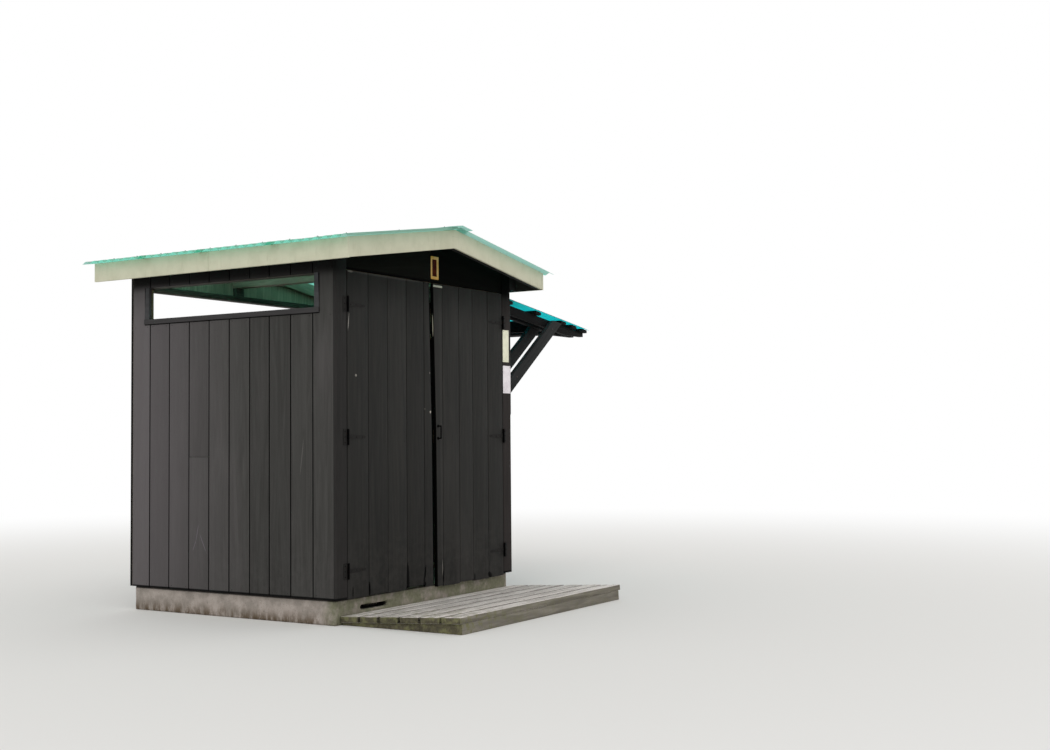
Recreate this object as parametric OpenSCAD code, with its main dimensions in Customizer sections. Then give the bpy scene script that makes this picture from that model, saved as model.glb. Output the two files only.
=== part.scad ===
// Plank outhouse on a concrete curb, with a low gable roof of translucent corrugated sheet,
// two plank doors across its front, open windows under the eaves and a braced awning on its right side.
// Millimetres. X runs right along the front, Y to the back, Z up from the ground.
// Origin: on the ground under the middle of the four walls.

/* [Walls] */
// Width of the front over both corner boards
wall_w = 2022; // [1900:1:2200]
// Length of the side walls, front to back
wall_l = 1830; // [1760:1:2100]
// Thickness of every wall board and door board
board_t = 22; // [18:1:26]
// Height of the concrete curb above the ground
curb_h = 165; // [140:5:240]
// Thickness of the concrete curb
curb_t = 150; // [120:5:200]
// Narrow side of the framing timber
timber_t = 38; // [34:1:44]
// Wide side of the framing timber
timber_w = 89; // [80:1:94]

/* [Windows] */
// Clear height of the windows, from the sill up
window_h = 219; // [180:1:260]
// Drop of the windows' top below the doors' top line
window_drop = 22; // [10:1:40]
// Distance from a corner of the building to the window's clear opening
window_inset = 176; // [160:1:260]
// Thickness of the window sill
sill_t = 33; // [28:1:40]
// Width of the upright trims beside a window
trim_w = 43; // [36:1:50]

/* [Doors] */
// Height of the doors' top line above the curb
door_h = 2067; // [1900:1:2300]
// Width of the corner boards beside the doors
corner_w = 105; // [98:1:120]
// Gap between the two doors at their meeting edges
door_gap = 43; // [20:1:60]
// Distance of that gap right of the building's middle, at the doors' foot
meet_x = 40; // [0:1:60]
// Lean of the gap to the left, at the doors' top line
meet_lean = 37; // [20:1:40]
// Clearance around a closed door
door_clear = 6; // [5:1:8]
// Outer radius of the hinge knuckles
knuckle_r = 7; // [6:0.5:9]
// Length of the strap that a hinge carries onto the door
strap_l = 170; // [120:5:220]

/* [Roof] */
// Pitch of the roof in degrees
roof_pitch = 9.1; // [8.5:0.1:9.5]
// Overhang of the eaves, to the outer face of the fascia
eave_over = 142; // [120:1:180]
// Overhang of the gables, to the outer face of the fascia
rake_over = 211; // [150:1:260]
// Height of the fascia boards
fascia_h = 127; // [125:1:140]
// Thickness of the fascia boards
fascia_t = 19; // [16:1:22]
// Height of the eave fascia's lower edge above the doors' top line
eave_rise = 31; // [31:1:60]
// Depth of the ridge beam
ridge_h = 228; // [180:1:250]
// Pitch of the sheets' corrugation
wave_pitch = 76; // [70:1:80]
// Depth of the sheets' corrugation
wave_h = 18; // [14:1:20]
// Thickness of the roof sheets
sheet_t = 2.5; // [2:0.1:3.5]
// Overhang of the roof sheets beyond the fascias
sheet_over = 60; // [30:5:90]

/* [Awning] */
// Reach of the awning's rafters out from the wall
awning_out = 1220; // [1100:5:1300]
// Overhang of the awning's sheet beyond its rafters
awning_over = 25; // [10:5:60]
// Fall of the awning in degrees
awning_pitch = 7.4; // [6:0.1:8]
// Drop of the awning sheet's underside at the wall below the eave fascia's lower edge
awning_drop = 66; // [62:1:100]
// Depth of the awning's rafters
awning_rafter_h = 64; // [56:1:70]
// Drop of a brace's lower end, at the wall, below the awning sheet's underside
brace_drop = 734; // [690:1:780]
// Depth of a brace, square to its length
brace_w = 93; // [86:1:98]
// Rise of a brace in degrees
brace_rise = 36.6; // [34:0.1:38]

/* [Platform] */
// Length of the platform's planks
deck_w = 2010; // [1900:5:2060]
// Width of one platform plank
plank_w = 138; // [130:1:142]
// Number of platform planks
plank_n = 6; // [5:1:6]
// Thickness of a platform plank
plank_t = 38; // [34:1:40]
// Rise of the platform toward its front in degrees
deck_tilt = 3.1; // [2:0.1:3.5]

/* [Hidden] */
$fn = 48;
half_w = wall_w / 2;
half_l = wall_l / 2;
inner_w = half_w - board_t;
inner_l = half_l - board_t;
roof_half = half_w + eave_over;
rake_y = half_l + rake_over;
rake_x = roof_half - fascia_t;
window_top = door_h - window_drop;
sill_z = window_top - window_h;
eave_z = door_h + eave_rise;
awning_z = eave_z - awning_drop;
brace_z = awning_z - brace_drop;
batten_h = 25;
purlin_h = 38;
ridge_half = 40;

// Play left under a piece that sits on a slanting edge
seat = 0.3;

// Heights at a distance from the middle: the roof sheet's underside, the rafters' top and underside
function sheet_under(x) = curb_h + eave_z + fascia_h + tan(roof_pitch) * (roof_half - x);
function rafter_top(x) = sheet_under(x) - purlin_h / cos(roof_pitch);
function rafter_under(x) = rafter_top(x) - timber_w / cos(roof_pitch);
ridge_top = rafter_top(ridge_half);
ridge_foot = ridge_top - ridge_h;
function awning_under(x) = curb_h + awning_z - tan(awning_pitch) * x;
function awning_rafter_top(x) = awning_under(x) - batten_h / cos(awning_pitch);
function awning_rafter_under(x) = awning_rafter_top(x) - awning_rafter_h / cos(awning_pitch);

// A flat shape drawn as X and Z, drawn out along Y
module along_y(y0, y1) {
  translate([0, y1, 0])
    rotate([90, 0, 0])
      linear_extrude(y1 - y0)
        children();
}

// A flat shape drawn as Y and Z, drawn out along X
module along_x(x0, x1) {
  translate([x0, 0, 0])
    rotate([90, 0, 90])
      linear_extrude(x1 - x0)
        children();
}

// A box given by its two far corners
module block(a, b) {
  translate(a)
    cube(b - a);
}

module both_sides() {
  children();
  mirror([1, 0, 0])
    children();
}

module both_ends() {
  children();
  mirror([0, 1, 0])
    children();
}

// Concrete: a curb under the walls with a hollow broken out of its front face, and the floor cast inside it
curb_x = inner_w;
curb_front = -inner_l + 8;
slot_w = 322;
slot_h = 25;
slot_depth = 100;
slot_x = -half_w + 275;
slot_z = 76;
slot_tilt = 0.5;

module foundation_curb() {
  color([0.62, 0.58, 0.55])
    difference() {
      block([-curb_x, curb_front, 0], [curb_x, inner_l, curb_h]);
      block([-curb_x + curb_t, curb_front + curb_t, -1], [curb_x - curb_t, inner_l - curb_t, curb_h + 1]);
      translate([slot_x, curb_front - 1, slot_z])
        rotate([0, slot_tilt, 0])
          cube([slot_w, slot_depth + 1, slot_h]);
    }
}

module floor_slab() {
  color([0.5, 0.49, 0.47])
    block([-curb_x + curb_t, curb_front + curb_t, 0], [curb_x - curb_t, inner_l - curb_t, curb_h - 10]);
}

// Framing: sole plate, posts, studs, plates and headers
module sole_plate() {
  color([0.36, 0.3, 0.24])
    translate([0, 0, curb_h])
      linear_extrude(timber_t)
        difference() {
          translate([-inner_w, -inner_l + 8])
            square([2 * inner_w, 2 * inner_l - 8]);
          translate([-inner_w + timber_w, -inner_l - 1])
            square([2 * (inner_w - timber_w), 2 * inner_l + 1 - timber_w]);
        }
}

post_foot = curb_h + timber_t;
plate_z = curb_h + window_top;
rail_top = curb_h + sill_z - sill_t;
rail_foot = rail_top - timber_t;

module corner_posts() {
  color([0.36, 0.3, 0.24])
    both_sides()
      both_ends()
        block([inner_w - timber_w + 9, inner_l - timber_w, post_foot], [inner_w, inner_l, plate_z]);
}

module wall_studs() {
  color([0.36, 0.3, 0.24]) {
    both_sides()
      for (y = [-1, 1])
        translate([0, y * wall_l / 6, 0])
          block([inner_w - timber_w, -timber_t / 2, post_foot], [inner_w, timber_t / 2, rail_foot]);
    both_sides()
      block([wall_w / 6 - timber_t / 2, inner_l - timber_w, post_foot],
            [wall_w / 6 + timber_t / 2, inner_l, rail_foot]);
  }
}

module wall_rails() {
  color([0.36, 0.3, 0.24]) {
    both_sides()
      block([inner_w - timber_w, -inner_l + timber_w, rail_foot], [inner_w, inner_l - timber_w, rail_top]);
    block([-inner_w + timber_w, inner_l - timber_w, rail_foot],
          [inner_w - timber_w, inner_l, rail_top]);
  }
}

// The side plates carry the rafters on a top cut to the pitch
module top_plates() {
  color([0.36, 0.3, 0.24])
    both_sides()
      along_y(-inner_l, inner_l)
        polygon([[inner_w - timber_w, plate_z], [inner_w, plate_z],
                 [inner_w, rafter_under(inner_w) - seat],
                 [inner_w - timber_w, rafter_under(inner_w - timber_w) - seat]]);
}

// Header over the doors: up to the rafters, and lower where a deeper ridge beam lies on it
header_top = rafter_under(inner_w - timber_w) - seat;

module door_header() {
  color([0.36, 0.3, 0.24])
    along_y(-inner_l, -inner_l + timber_t)
      difference() {
        translate([-inner_w + timber_w, curb_h + door_h])
          square([2 * (inner_w - timber_w), header_top - curb_h - door_h]);
        translate([-ridge_half, ridge_foot])
          square([2 * ridge_half, ridge_h]);
      }
}

// Rail over the back window, laid flat between the side plates, and a block on it under the ridge beam
back_rail_foot = plate_z - 14;
back_rail_top = back_rail_foot + timber_t;

module back_header() {
  color([0.42, 0.36, 0.29]) {
    block([-inner_w + timber_w, inner_l - timber_w, back_rail_foot],
          [inner_w - timber_w, inner_l, back_rail_top]);
    block([-ridge_half, inner_l - timber_t, back_rail_top], [ridge_half, inner_l, ridge_foot]);
  }
}

// Walls: one closed panel a side, cut through for the windows
wall_foot = curb_h - 5;
window_y = half_l - window_inset;
window_x = half_w - window_inset;

module window_hole(half) {
  translate([-half - trim_w, rail_top])
    square([2 * (half + trim_w), window_top - sill_z + sill_t]);
}

module left_wall() {
  color([0.17, 0.14, 0.13])
    along_x(-half_w, -inner_w)
      difference() {
        translate([-inner_l, wall_foot])
          square([2 * inner_l, rafter_under(half_w) - wall_foot]);
        window_hole(window_y);
      }
}

module right_wall() {
  color([0.17, 0.14, 0.13])
    along_x(inner_w, half_w)
      translate([-inner_l, wall_foot])
        square([2 * inner_l, rafter_under(half_w) - wall_foot]);
}

module gable_outline(x0, x1) {
  polygon([[x0, wall_foot], [x1, wall_foot], [x1, rafter_top(abs(x1))],
           if (x0 < 0 && x1 > 0) [ridge_half, rafter_top(ridge_half)],
           if (x0 < 0 && x1 > 0) [-ridge_half, rafter_top(ridge_half)],
           [x0, rafter_top(abs(x0))]]);
}

module back_wall() {
  color([0.17, 0.14, 0.13])
    along_y(inner_l, half_l)
      difference() {
        gable_outline(-half_w, half_w);
        window_hole(window_x);
      }
}

// A window frame: a sill that stands 8 mm proud and an upright trim at each end
module window_frame(half) {
  block([-half - trim_w, -8, rail_top], [half + trim_w, board_t, curb_h + sill_z]);
  for (side = [-1, 1])
    translate([side * (half + trim_w / 2), 0, 0])
      block([-trim_w / 2, -2, curb_h + sill_z], [trim_w / 2, board_t, plate_z]);
}

module left_window_frame() {
  color([0.3, 0.28, 0.28])
    translate([-half_w, 0, 0])
      rotate([0, 0, -90])
        window_frame(window_y);
}

module back_window_frame() {
  color([0.3, 0.28, 0.28])
    translate([0, half_l, 0])
      rotate([0, 0, 180])
        window_frame(window_x);
}

// Front: corner boards, and two header boards that run up to the roof and meet under the ridge
module corner_board(x0, x1) {
  color([0.17, 0.14, 0.13])
    along_y(-half_l, -inner_l)
      gable_outline(x0, x1);
}

module front_corner_board_left() {
  corner_board(-half_w, -half_w + corner_w);
}

module front_corner_board_right() {
  corner_board(half_w - corner_w, half_w);
}

module header_board(set_back) {
  color([0.15, 0.13, 0.13])
    along_y(-half_l + set_back, -inner_l)
      polygon([[0, curb_h + door_h], [half_w - corner_w, curb_h + door_h],
               [half_w - corner_w, rafter_top(half_w - corner_w)], [ridge_half, ridge_top],
               [0, ridge_top]]);
}

module front_header_left() {
  mirror([1, 0, 0])
    header_board(0);
}

header_set_back = 8;

module front_header_right() {
  header_board(header_set_back);
}

// Roof frame
module ridge_beam() {
  color([0.33, 0.28, 0.23])
    block([-ridge_half, -inner_l, ridge_foot], [ridge_half, inner_l, ridge_top]);
}

module rafter_side() {
  polygon([[ridge_half, rafter_top(ridge_half)], [rake_x, rafter_top(rake_x)],
           [rake_x, rafter_under(rake_x)], [ridge_half, rafter_under(ridge_half)]]);
}

rafter_gap = (2 * inner_l - timber_t) / 3;

module rafters() {
  color([0.33, 0.28, 0.23])
    both_sides()
      for (i = [0:3])
        along_y(-inner_l + i * rafter_gap, -inner_l + i * rafter_gap + timber_t)
          rafter_side();
}

// The outermost pair at each gable hangs from the purlins and carries the rake fascia
module fly_rafter_side() {
  polygon([[0, rafter_top(0)], [rake_x, rafter_top(rake_x)],
           [rake_x, rafter_under(rake_x) + 3], [0, rafter_under(0) + 3]]);
}

module fly_rafters() {
  color([0.33, 0.28, 0.23])
    both_ends()
      along_y(rake_y - fascia_t - timber_t, rake_y - fascia_t) {
        fly_rafter_side();
        mirror([1, 0])
          fly_rafter_side();
      }
}

purlin_x = [70, 540, rake_x - 60];

module purlins() {
  color([0.33, 0.28, 0.23])
    both_sides()
      for (x = purlin_x)
        along_y(-rake_y + fascia_t, rake_y - fascia_t)
          polygon([[x, rafter_top(x) + seat], [x + timber_t, rafter_top(x + timber_t) + seat],
                   [x + timber_t, sheet_under(x + timber_t) - seat], [x, sheet_under(x) - seat]]);
}

// Corrugated sheet: the wave as Y and Z, its troughs on Z = 0
wave_steps = 6;

module wave(length) {
  n = round(length / wave_pitch) * wave_steps;
  step = length / n;
  rise = [for (i = [0:n]) wave_h / 2 * (1 - cos(360 * i / wave_steps))];
  polygon(concat([for (i = [0:n]) [i * step, rise[i]]],
                 [for (i = [n:-1:0]) [i * step, rise[i] + sheet_t]]));
}

roof_l = 2 * (rake_y + sheet_over);

module roof_sheet() {
  translate([0, -roof_l / 2, sheet_under(0)])
    rotate([0, roof_pitch, 0])
      along_x(18, (roof_half + sheet_over) / cos(roof_pitch))
        wave(roof_l);
}

module right_roof_sheet() {
  color([0.3, 0.6, 0.56])
    roof_sheet();
}

module left_roof_sheet() {
  color([0.3, 0.6, 0.56])
    mirror([1, 0, 0])
      roof_sheet();
}

// Folded cap over the ridge, on the crests of both sheets
cap_z = (wave_h + sheet_t) / cos(roof_pitch) + seat;
cap_x = 120;

module ridge_cap() {
  color([0.3, 0.6, 0.56])
    along_y(-roof_l / 2, roof_l / 2)
      polygon([[-cap_x, sheet_under(cap_x) + cap_z], [0, sheet_under(0) + cap_z],
               [cap_x, sheet_under(cap_x) + cap_z],
               [cap_x, sheet_under(cap_x) + cap_z + sheet_t], [0, sheet_under(0) + cap_z + sheet_t],
               [-cap_x, sheet_under(cap_x) + cap_z + sheet_t]]);
}

// Fascias
module eave_fascia() {
  color([0.85, 0.83, 0.76])
    block([rake_x, -rake_y, curb_h + eave_z], [roof_half, rake_y, curb_h + eave_z + fascia_h]);
}

module right_eave_fascia() {
  eave_fascia();
}

module left_eave_fascia() {
  mirror([1, 0, 0])
    eave_fascia();
}

module rake_fascia() {
  color([0.85, 0.83, 0.76])
    along_y(-rake_y, -rake_y + fascia_t)
      polygon([[-rake_x, sheet_under(rake_x) - fascia_h], [0, sheet_under(0) - fascia_h],
               [rake_x, sheet_under(rake_x) - fascia_h],
               [rake_x, sheet_under(rake_x)], [0, sheet_under(0)], [-rake_x, sheet_under(rake_x)]]);
}

module front_rake_fascia() {
  rake_fascia();
}

module back_rake_fascia() {
  mirror([0, 1, 0])
    rake_fascia();
}

// Awning on the right wall: at each end a cleat, two rafters and two braces lapped on their outer faces
cleat_w = 203;
cleat_y = half_l - 20;
cleat_out = timber_t;
cleat_foot = brace_z - 169;
cleat_cut = 40;

module awning_frame_at() {
  translate([half_w, 0, 0])
    children();
}

module awning_cleats() {
  color([0.2, 0.17, 0.16])
    awning_frame_at()
      both_ends()
        along_y(cleat_y - cleat_w, cleat_y)
          polygon([[0, curb_h + cleat_foot], [cleat_out, curb_h + cleat_foot + cleat_cut],
                   [cleat_out, awning_rafter_top(cleat_out)], [0, awning_rafter_top(0)]]);
}

tail_l = 270;
tail_x = awning_out - tail_l;

module awning_rafters() {
  color([0.2, 0.17, 0.16])
    awning_frame_at()
      both_ends()
        for (y = [cleat_y - cleat_w + timber_t, cleat_y - 2 * timber_t])
          along_y(y, y + timber_t)
            polygon([[cleat_out, awning_rafter_top(cleat_out)], [awning_out, awning_rafter_top(awning_out)],
                     [awning_out, awning_rafter_under(tail_x)], [tail_x, awning_rafter_under(tail_x)],
                     [cleat_out, awning_rafter_under(cleat_out)]]);
}

// A brace: plumb cut at the cleat and cut to the rafter's top edge at its upper end
brace_h = brace_w / cos(brace_rise);
brace_foot = curb_h + brace_z;

module brace_profile() {
  intersection() {
    polygon([[cleat_out, brace_foot + cleat_out * tan(brace_rise)],
             [awning_out, brace_foot + awning_out * tan(brace_rise)],
             [awning_out, brace_foot + awning_out * tan(brace_rise) + brace_h],
             [cleat_out, brace_foot + cleat_out * tan(brace_rise) + brace_h]]);
    polygon([[0, 0], [awning_out, 0],
             [awning_out, awning_rafter_top(awning_out)], [0, awning_rafter_top(0)]]);
  }
}

module awning_braces() {
  color([0.24, 0.22, 0.21])
    awning_frame_at()
      both_ends()
        for (y = [cleat_y - cleat_w, cleat_y - timber_t])
          along_y(y, y + timber_t)
            brace_profile();
}

beam_x = 615;
beam_h = timber_w + 5;

module awning_beam() {
  color([0.2, 0.17, 0.16])
    awning_frame_at()
      along_y(-cleat_y + cleat_w, cleat_y - cleat_w)
        polygon([[beam_x, awning_rafter_top(beam_x) - seat],
                 [beam_x + timber_t, awning_rafter_top(beam_x + timber_t) - seat],
                 [beam_x + timber_t, awning_rafter_top(beam_x) - beam_h],
                 [beam_x, awning_rafter_top(beam_x) - beam_h]]);
}

awning_batten_w = 80;
awning_batten_x = [0, 410, 800, 970, awning_out - awning_batten_w];

module awning_battens() {
  color([0.2, 0.17, 0.16])
    awning_frame_at()
      for (x = awning_batten_x)
        along_y(-cleat_y, cleat_y)
          polygon([[x, awning_rafter_top(x) + seat],
                   [x + awning_batten_w, awning_rafter_top(x + awning_batten_w) + seat],
                   [x + awning_batten_w, awning_under(x + awning_batten_w) - seat],
                   [x, awning_under(x) - seat]]);
}

awning_l = 2 * (cleat_y + 10);

module awning_sheet() {
  color([0.3, 0.6, 0.56])
    awning_frame_at()
      translate([0, -awning_l / 2, awning_under(0)])
        rotate([0, awning_pitch, 0])
          along_x(4, (awning_out + awning_over) / cos(awning_pitch))
            wave(awning_l);
}

// Plates, all bare: two on the right corner board, and one above the place where the doors meet
plate_t = 3;
cream_w = 80;
cream_h = 239;
cream_drop = 513;
cream_edge = 24;
white_w = 101;
white_h = 205;
white_drop = 745;
white_edge = 2;

module cream_plate() {
  color([0.88, 0.86, 0.72])
    translate([half_w - cream_edge - cream_w, -half_l - plate_t, curb_h + door_h - cream_drop])
      cube([cream_w, plate_t, cream_h]);
}

module white_plate() {
  color([0.9, 0.89, 0.88])
    translate([half_w - white_edge - white_w, -half_l - plate_t, curb_h + door_h - white_drop])
      cube([white_w, plate_t, white_h]);
}

// The plate over the doors: a panel with a raised rim
gable_x = 49;
gable_w = 94;
gable_h = 158;
gable_rise = 23;
gable_t = 4;
gable_rim = 20;
gable_rim_t = 3;

module gable_plate() {
  color([0.8, 0.6, 0.35])
    translate([gable_x - gable_w / 2, -half_l + header_set_back - gable_t, curb_h + door_h + gable_rise]) {
      cube([gable_w, gable_t, gable_h]);
      difference() {
        translate([0, -gable_rim_t, 0])
          cube([gable_w, gable_rim_t + 1, gable_h]);
        translate([gable_rim, -gable_rim_t - 1, gable_rim])
          cube([gable_w - 2 * gable_rim, gable_rim_t + 3, gable_h - 2 * gable_rim]);
      }
    }
}

// Platform: planks that run along the front, on bearers that stand on the ground
deck_x = -half_w + 70;
deck_back = curb_front;
plank_gap = 16;
deck_depth = plank_n * (plank_w + plank_gap) - plank_gap;
deck_back_z = curb_h - 110;

module deck_frame_at() {
  translate([deck_x, deck_back, deck_back_z])
    rotate([-deck_tilt, 0, 0])
      children();
}

module deck_planks() {
  color([0.6, 0.58, 0.54])
    deck_frame_at()
      for (i = [0:plank_n - 1])
        translate([0, -(i + 1) * plank_w - i * plank_gap, -plank_t])
          cube([deck_w, plank_w, plank_t]);
}

// Bearers and a front board, cut level at the ground and set back from the planks' ends
bearer_w = 60;
bearer_end = 20;
bearer_back = 4;

module bearer_profile() {
  intersection() {
    translate([deck_back, deck_back_z])
      rotate(-deck_tilt)
        translate([-deck_depth + bearer_back, -plank_t - curb_h])
          square([deck_depth + bearer_end, curb_h]);
    translate([deck_back - 2 * deck_depth, 0])
      square([2 * deck_depth, 2 * curb_h]);
  }
}

module deck_bearers() {
  color([0.45, 0.42, 0.36]) {
    for (x = [bearer_end, (deck_w - bearer_w) / 2, deck_w - bearer_end - bearer_w])
      along_x(deck_x + x, deck_x + x + bearer_w)
        bearer_profile();
    intersection() {
      along_x(deck_x + bearer_end, deck_x + deck_w - bearer_end)
        bearer_profile();
      block([deck_x, deck_back - 2 * deck_depth, 0],
            [deck_x + deck_w, deck_back - deck_depth + timber_t + bearer_back, 2 * curb_h]);
    }
  }
}

// Doors, each drawn from its hinge axis: X toward the meeting edge, Y inward, Z up from the curb
axis_x = half_w - corner_w - 4;
axis_y = -half_l - knuckle_r - 1;
hinge_low = 168;
hinge_drop = 222;
hinge_high = door_h - hinge_drop;
hinge_z = [hinge_low, (hinge_low + hinge_high) / 2, hinge_high];
leaf_t = 3;
leaf_h = 101;
link_h = 32;
edge = 4;
left_w = axis_x - edge + meet_x - door_gap / 2;
right_w = axis_x - edge - meet_x - door_gap / 2;

module left_door_at() {
  translate([-axis_x, axis_y, curb_h])
    children();
}

module right_door_at() {
  mirror([1, 0, 0])
    left_door_at()
      children();
}

// Half hinge on the corner board: a leaf, two knuckles and the pin
module wall_hinge() {
  difference() {
    translate([-40, knuckle_r + 1 - leaf_t, -leaf_h / 2])
      cube([39, leaf_t, leaf_h]);
    translate([-9, 0, -link_h / 2 - 0.6])
      cube([10, 20, link_h + 1.2]);
  }
  for (side = [-1, 1])
    translate([0, 0, side * (leaf_h + link_h + 1.2) / 4])
      cylinder(r = knuckle_r, h = (leaf_h - link_h - 1.2) / 2, center = true);
  cylinder(r = 3, h = leaf_h - 4, center = true);
}

module hinge_wall_leaves() {
  color([0.07, 0.07, 0.08]) {
    left_door_at()
      for (z = hinge_z)
        translate([0, 0, z])
          wall_hinge();
    right_door_at()
      for (z = hinge_z)
        translate([0, 0, z])
          wall_hinge();
  }
}

// Half hinge on the door: one knuckle and a tapering strap with a round end
module strap_hinge() {
  difference() {
    union() {
      cylinder(r = knuckle_r, h = link_h, center = true);
      translate([0, knuckle_r + 1, 0])
        rotate([90, 0, 0])
          linear_extrude(leaf_t) {
            polygon([[3, -15], [strap_l, -8], [strap_l, 8], [3, 15]]);
            translate([strap_l, 0])
              circle(r = 8);
          }
    }
    cylinder(r = 3.4, h = link_h + 2, center = true);
  }
}

module strap_hinges() {
  color([0.12, 0.11, 0.11])
    for (z = hinge_z)
      translate([0, 0, z])
        strap_hinge();
}

// Lean of the meeting edges at a height: slight up to the pull, then steeper
lean_bend_z = 1035;
lean_bend = meet_lean / 4;
function lean_at(z) = z < lean_bend_z
  ? lean_bend * z / lean_bend_z
  : lean_bend + (meet_lean - lean_bend) * (z - lean_bend_z) / (door_h - lean_bend_z);

// Door boards as one leaf with a worn lower edge: each point a share of the width and a drop below the curb
door_face = knuckle_r + 1;
leaf_top = door_h - door_clear;

module door_leaf(width, side, worn_edge) {
  meet = edge + width;
  color([0.16, 0.14, 0.14])
    along_y(door_face, door_face + board_t)
      polygon(concat([[meet + side * lean_at(leaf_top), leaf_top], [edge, leaf_top]],
                     [for (step = worn_edge) [edge + step[0] * width, -step[1]]],
                     [[meet + side * lean_bend, lean_bend_z]]));
}

batten_t = 25;
batten_w = 95;
batten_hinge_end = 60;
batten_meet_end = 30;

module door_battens(width, side) {
  back = door_face + board_t;
  color([0.3, 0.25, 0.2])
    for (z = hinge_z)
      block([edge + batten_hinge_end, back, z - batten_w / 2],
            [edge + width + side * lean_at(z) - batten_meet_end, back + batten_t, z + batten_w / 2]);
}

module left_door_boards() {
  left_door_at()
    door_leaf(left_w, -1, [[0, 4], [0.255, 7], [0.262, 1], [0.32, 9], [0.45, 3], [0.656, 8],
                           [0.689, -6], [0.695, -5], [0.753, 9], [1, 6]]);
}

module left_door_battens() {
  left_door_at()
    door_battens(left_w, -1);
}

module left_strap_hinges() {
  left_door_at()
    strap_hinges();
}

module right_door_boards() {
  right_door_at()
    door_leaf(right_w, 1, [[0, 22], [0.218, 20], [0.222, -8], [0.242, -4], [0.248, 18], [0.477, 24],
                           [0.487, 8], [0.718, 20], [0.827, 26], [0.834, 12], [1, 27]]);
}

module right_door_battens() {
  right_door_at()
    door_battens(right_w, 1);
}

module right_strap_hinges() {
  right_door_at()
    strap_hinges();
}

// D pull on the right door, bent from round bar
pull_edge = 24;
pull_x = edge + right_w + lean_bend - pull_edge;
pull_z = 1035;
pull_l = 84;
pull_r = 4.5;
pull_out = 26;

module pull_handle() {
  color([0.2, 0.2, 0.2])
    right_door_at()
      translate([pull_x, door_face, pull_z]) {
        for (side = [-1, 1]) {
          translate([0, 0, side * pull_l / 2])
            rotate([90, 0, 0]) {
              cylinder(r = pull_r, h = pull_out);
              cylinder(r = 2.2 * pull_r, h = 3);
            }
          translate([0, -pull_out, side * pull_l / 2])
            sphere(r = pull_r);
        }
        translate([0, -pull_out, 0])
          cylinder(r = pull_r, h = pull_l, center = true);
      }
}

// A pale strip nailed along the head of the right door at its meeting edge
strip_w = 104;
strip_h = 14;
strip_t = 4;
strip_drop = 25;
strip_edge = 1;

module head_strip() {
  strip_z = leaf_top - strip_drop;
  color([0.75, 0.75, 0.7])
    right_door_at()
      translate([edge + right_w + lean_at(strip_z) - strip_w - strip_edge, door_face - strip_t, strip_z])
        cube([strip_w, strip_t, strip_h]);
}

foundation_curb();
floor_slab();
sole_plate();
corner_posts();
wall_studs();
wall_rails();
top_plates();
door_header();
back_header();
left_wall();
right_wall();
back_wall();
left_window_frame();
back_window_frame();
front_corner_board_left();
front_corner_board_right();
front_header_left();
front_header_right();
ridge_beam();
rafters();
fly_rafters();
purlins();
left_roof_sheet();
right_roof_sheet();
ridge_cap();
left_eave_fascia();
right_eave_fascia();
front_rake_fascia();
back_rake_fascia();
awning_cleats();
awning_rafters();
awning_braces();
awning_beam();
awning_battens();
awning_sheet();
cream_plate();
white_plate();
gable_plate();
deck_planks();
deck_bearers();
hinge_wall_leaves();
left_door_boards();
left_door_battens();
left_strap_hinges();
right_door_boards();
right_door_battens();
right_strap_hinges();
pull_handle();
head_strip();
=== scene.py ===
# Plank outhouse on a concrete curb: the finish of its boards, timber, sheets, hinges and platform.
# Metres. X runs right along the front, Y to the back, Z up from the ground.
import math
import random

import bmesh
import bpy
import numpy as np
from mathutils import Matrix, Vector, noise


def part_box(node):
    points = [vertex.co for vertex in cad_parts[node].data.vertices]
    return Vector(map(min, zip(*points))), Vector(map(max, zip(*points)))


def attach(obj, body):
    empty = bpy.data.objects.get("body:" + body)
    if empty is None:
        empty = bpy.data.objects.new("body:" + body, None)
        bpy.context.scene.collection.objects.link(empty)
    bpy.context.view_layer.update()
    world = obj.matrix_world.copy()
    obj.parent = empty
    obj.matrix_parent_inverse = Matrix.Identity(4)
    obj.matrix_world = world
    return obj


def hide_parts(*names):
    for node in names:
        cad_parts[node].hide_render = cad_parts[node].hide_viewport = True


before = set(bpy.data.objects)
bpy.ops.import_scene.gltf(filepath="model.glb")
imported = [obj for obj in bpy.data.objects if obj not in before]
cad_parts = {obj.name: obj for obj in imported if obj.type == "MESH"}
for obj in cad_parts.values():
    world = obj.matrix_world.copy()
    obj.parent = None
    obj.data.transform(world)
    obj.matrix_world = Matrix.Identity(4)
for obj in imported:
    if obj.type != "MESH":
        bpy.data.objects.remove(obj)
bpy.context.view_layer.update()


# Camera: it stands off the front left corner at chest height and looks a little up at the eaves.
# Its lens, place and turn give the photograph's view.
camera_place = Vector((-7.5223, -6.3338, 1.1671))
camera_turn = math.radians(-58.2088)
camera_rise = math.radians(2.5938)
camera_roll = math.radians(-0.4983)

level = Vector((math.cos(camera_turn), math.sin(camera_turn), 0))
forward = Vector((-math.sin(camera_turn), math.cos(camera_turn), 0))
ahead = math.cos(camera_rise) * forward + math.sin(camera_rise) * Vector((0, 0, 1))
right = math.cos(camera_roll) * level + math.sin(camera_roll) * level.cross(ahead)
camera = bpy.data.objects.new("camera", bpy.data.cameras.new("camera"))
camera.data.sensor_width = 36
camera.data.sensor_fit = "HORIZONTAL"
camera.data.lens = 46.304
camera_axes = Matrix((right, right.cross(ahead), -ahead)).transposed()
camera.matrix_world = Matrix.Translation(camera_place) @ camera_axes.to_4x4()
bpy.context.scene.collection.objects.link(camera)
bpy.context.scene.camera = camera


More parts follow.
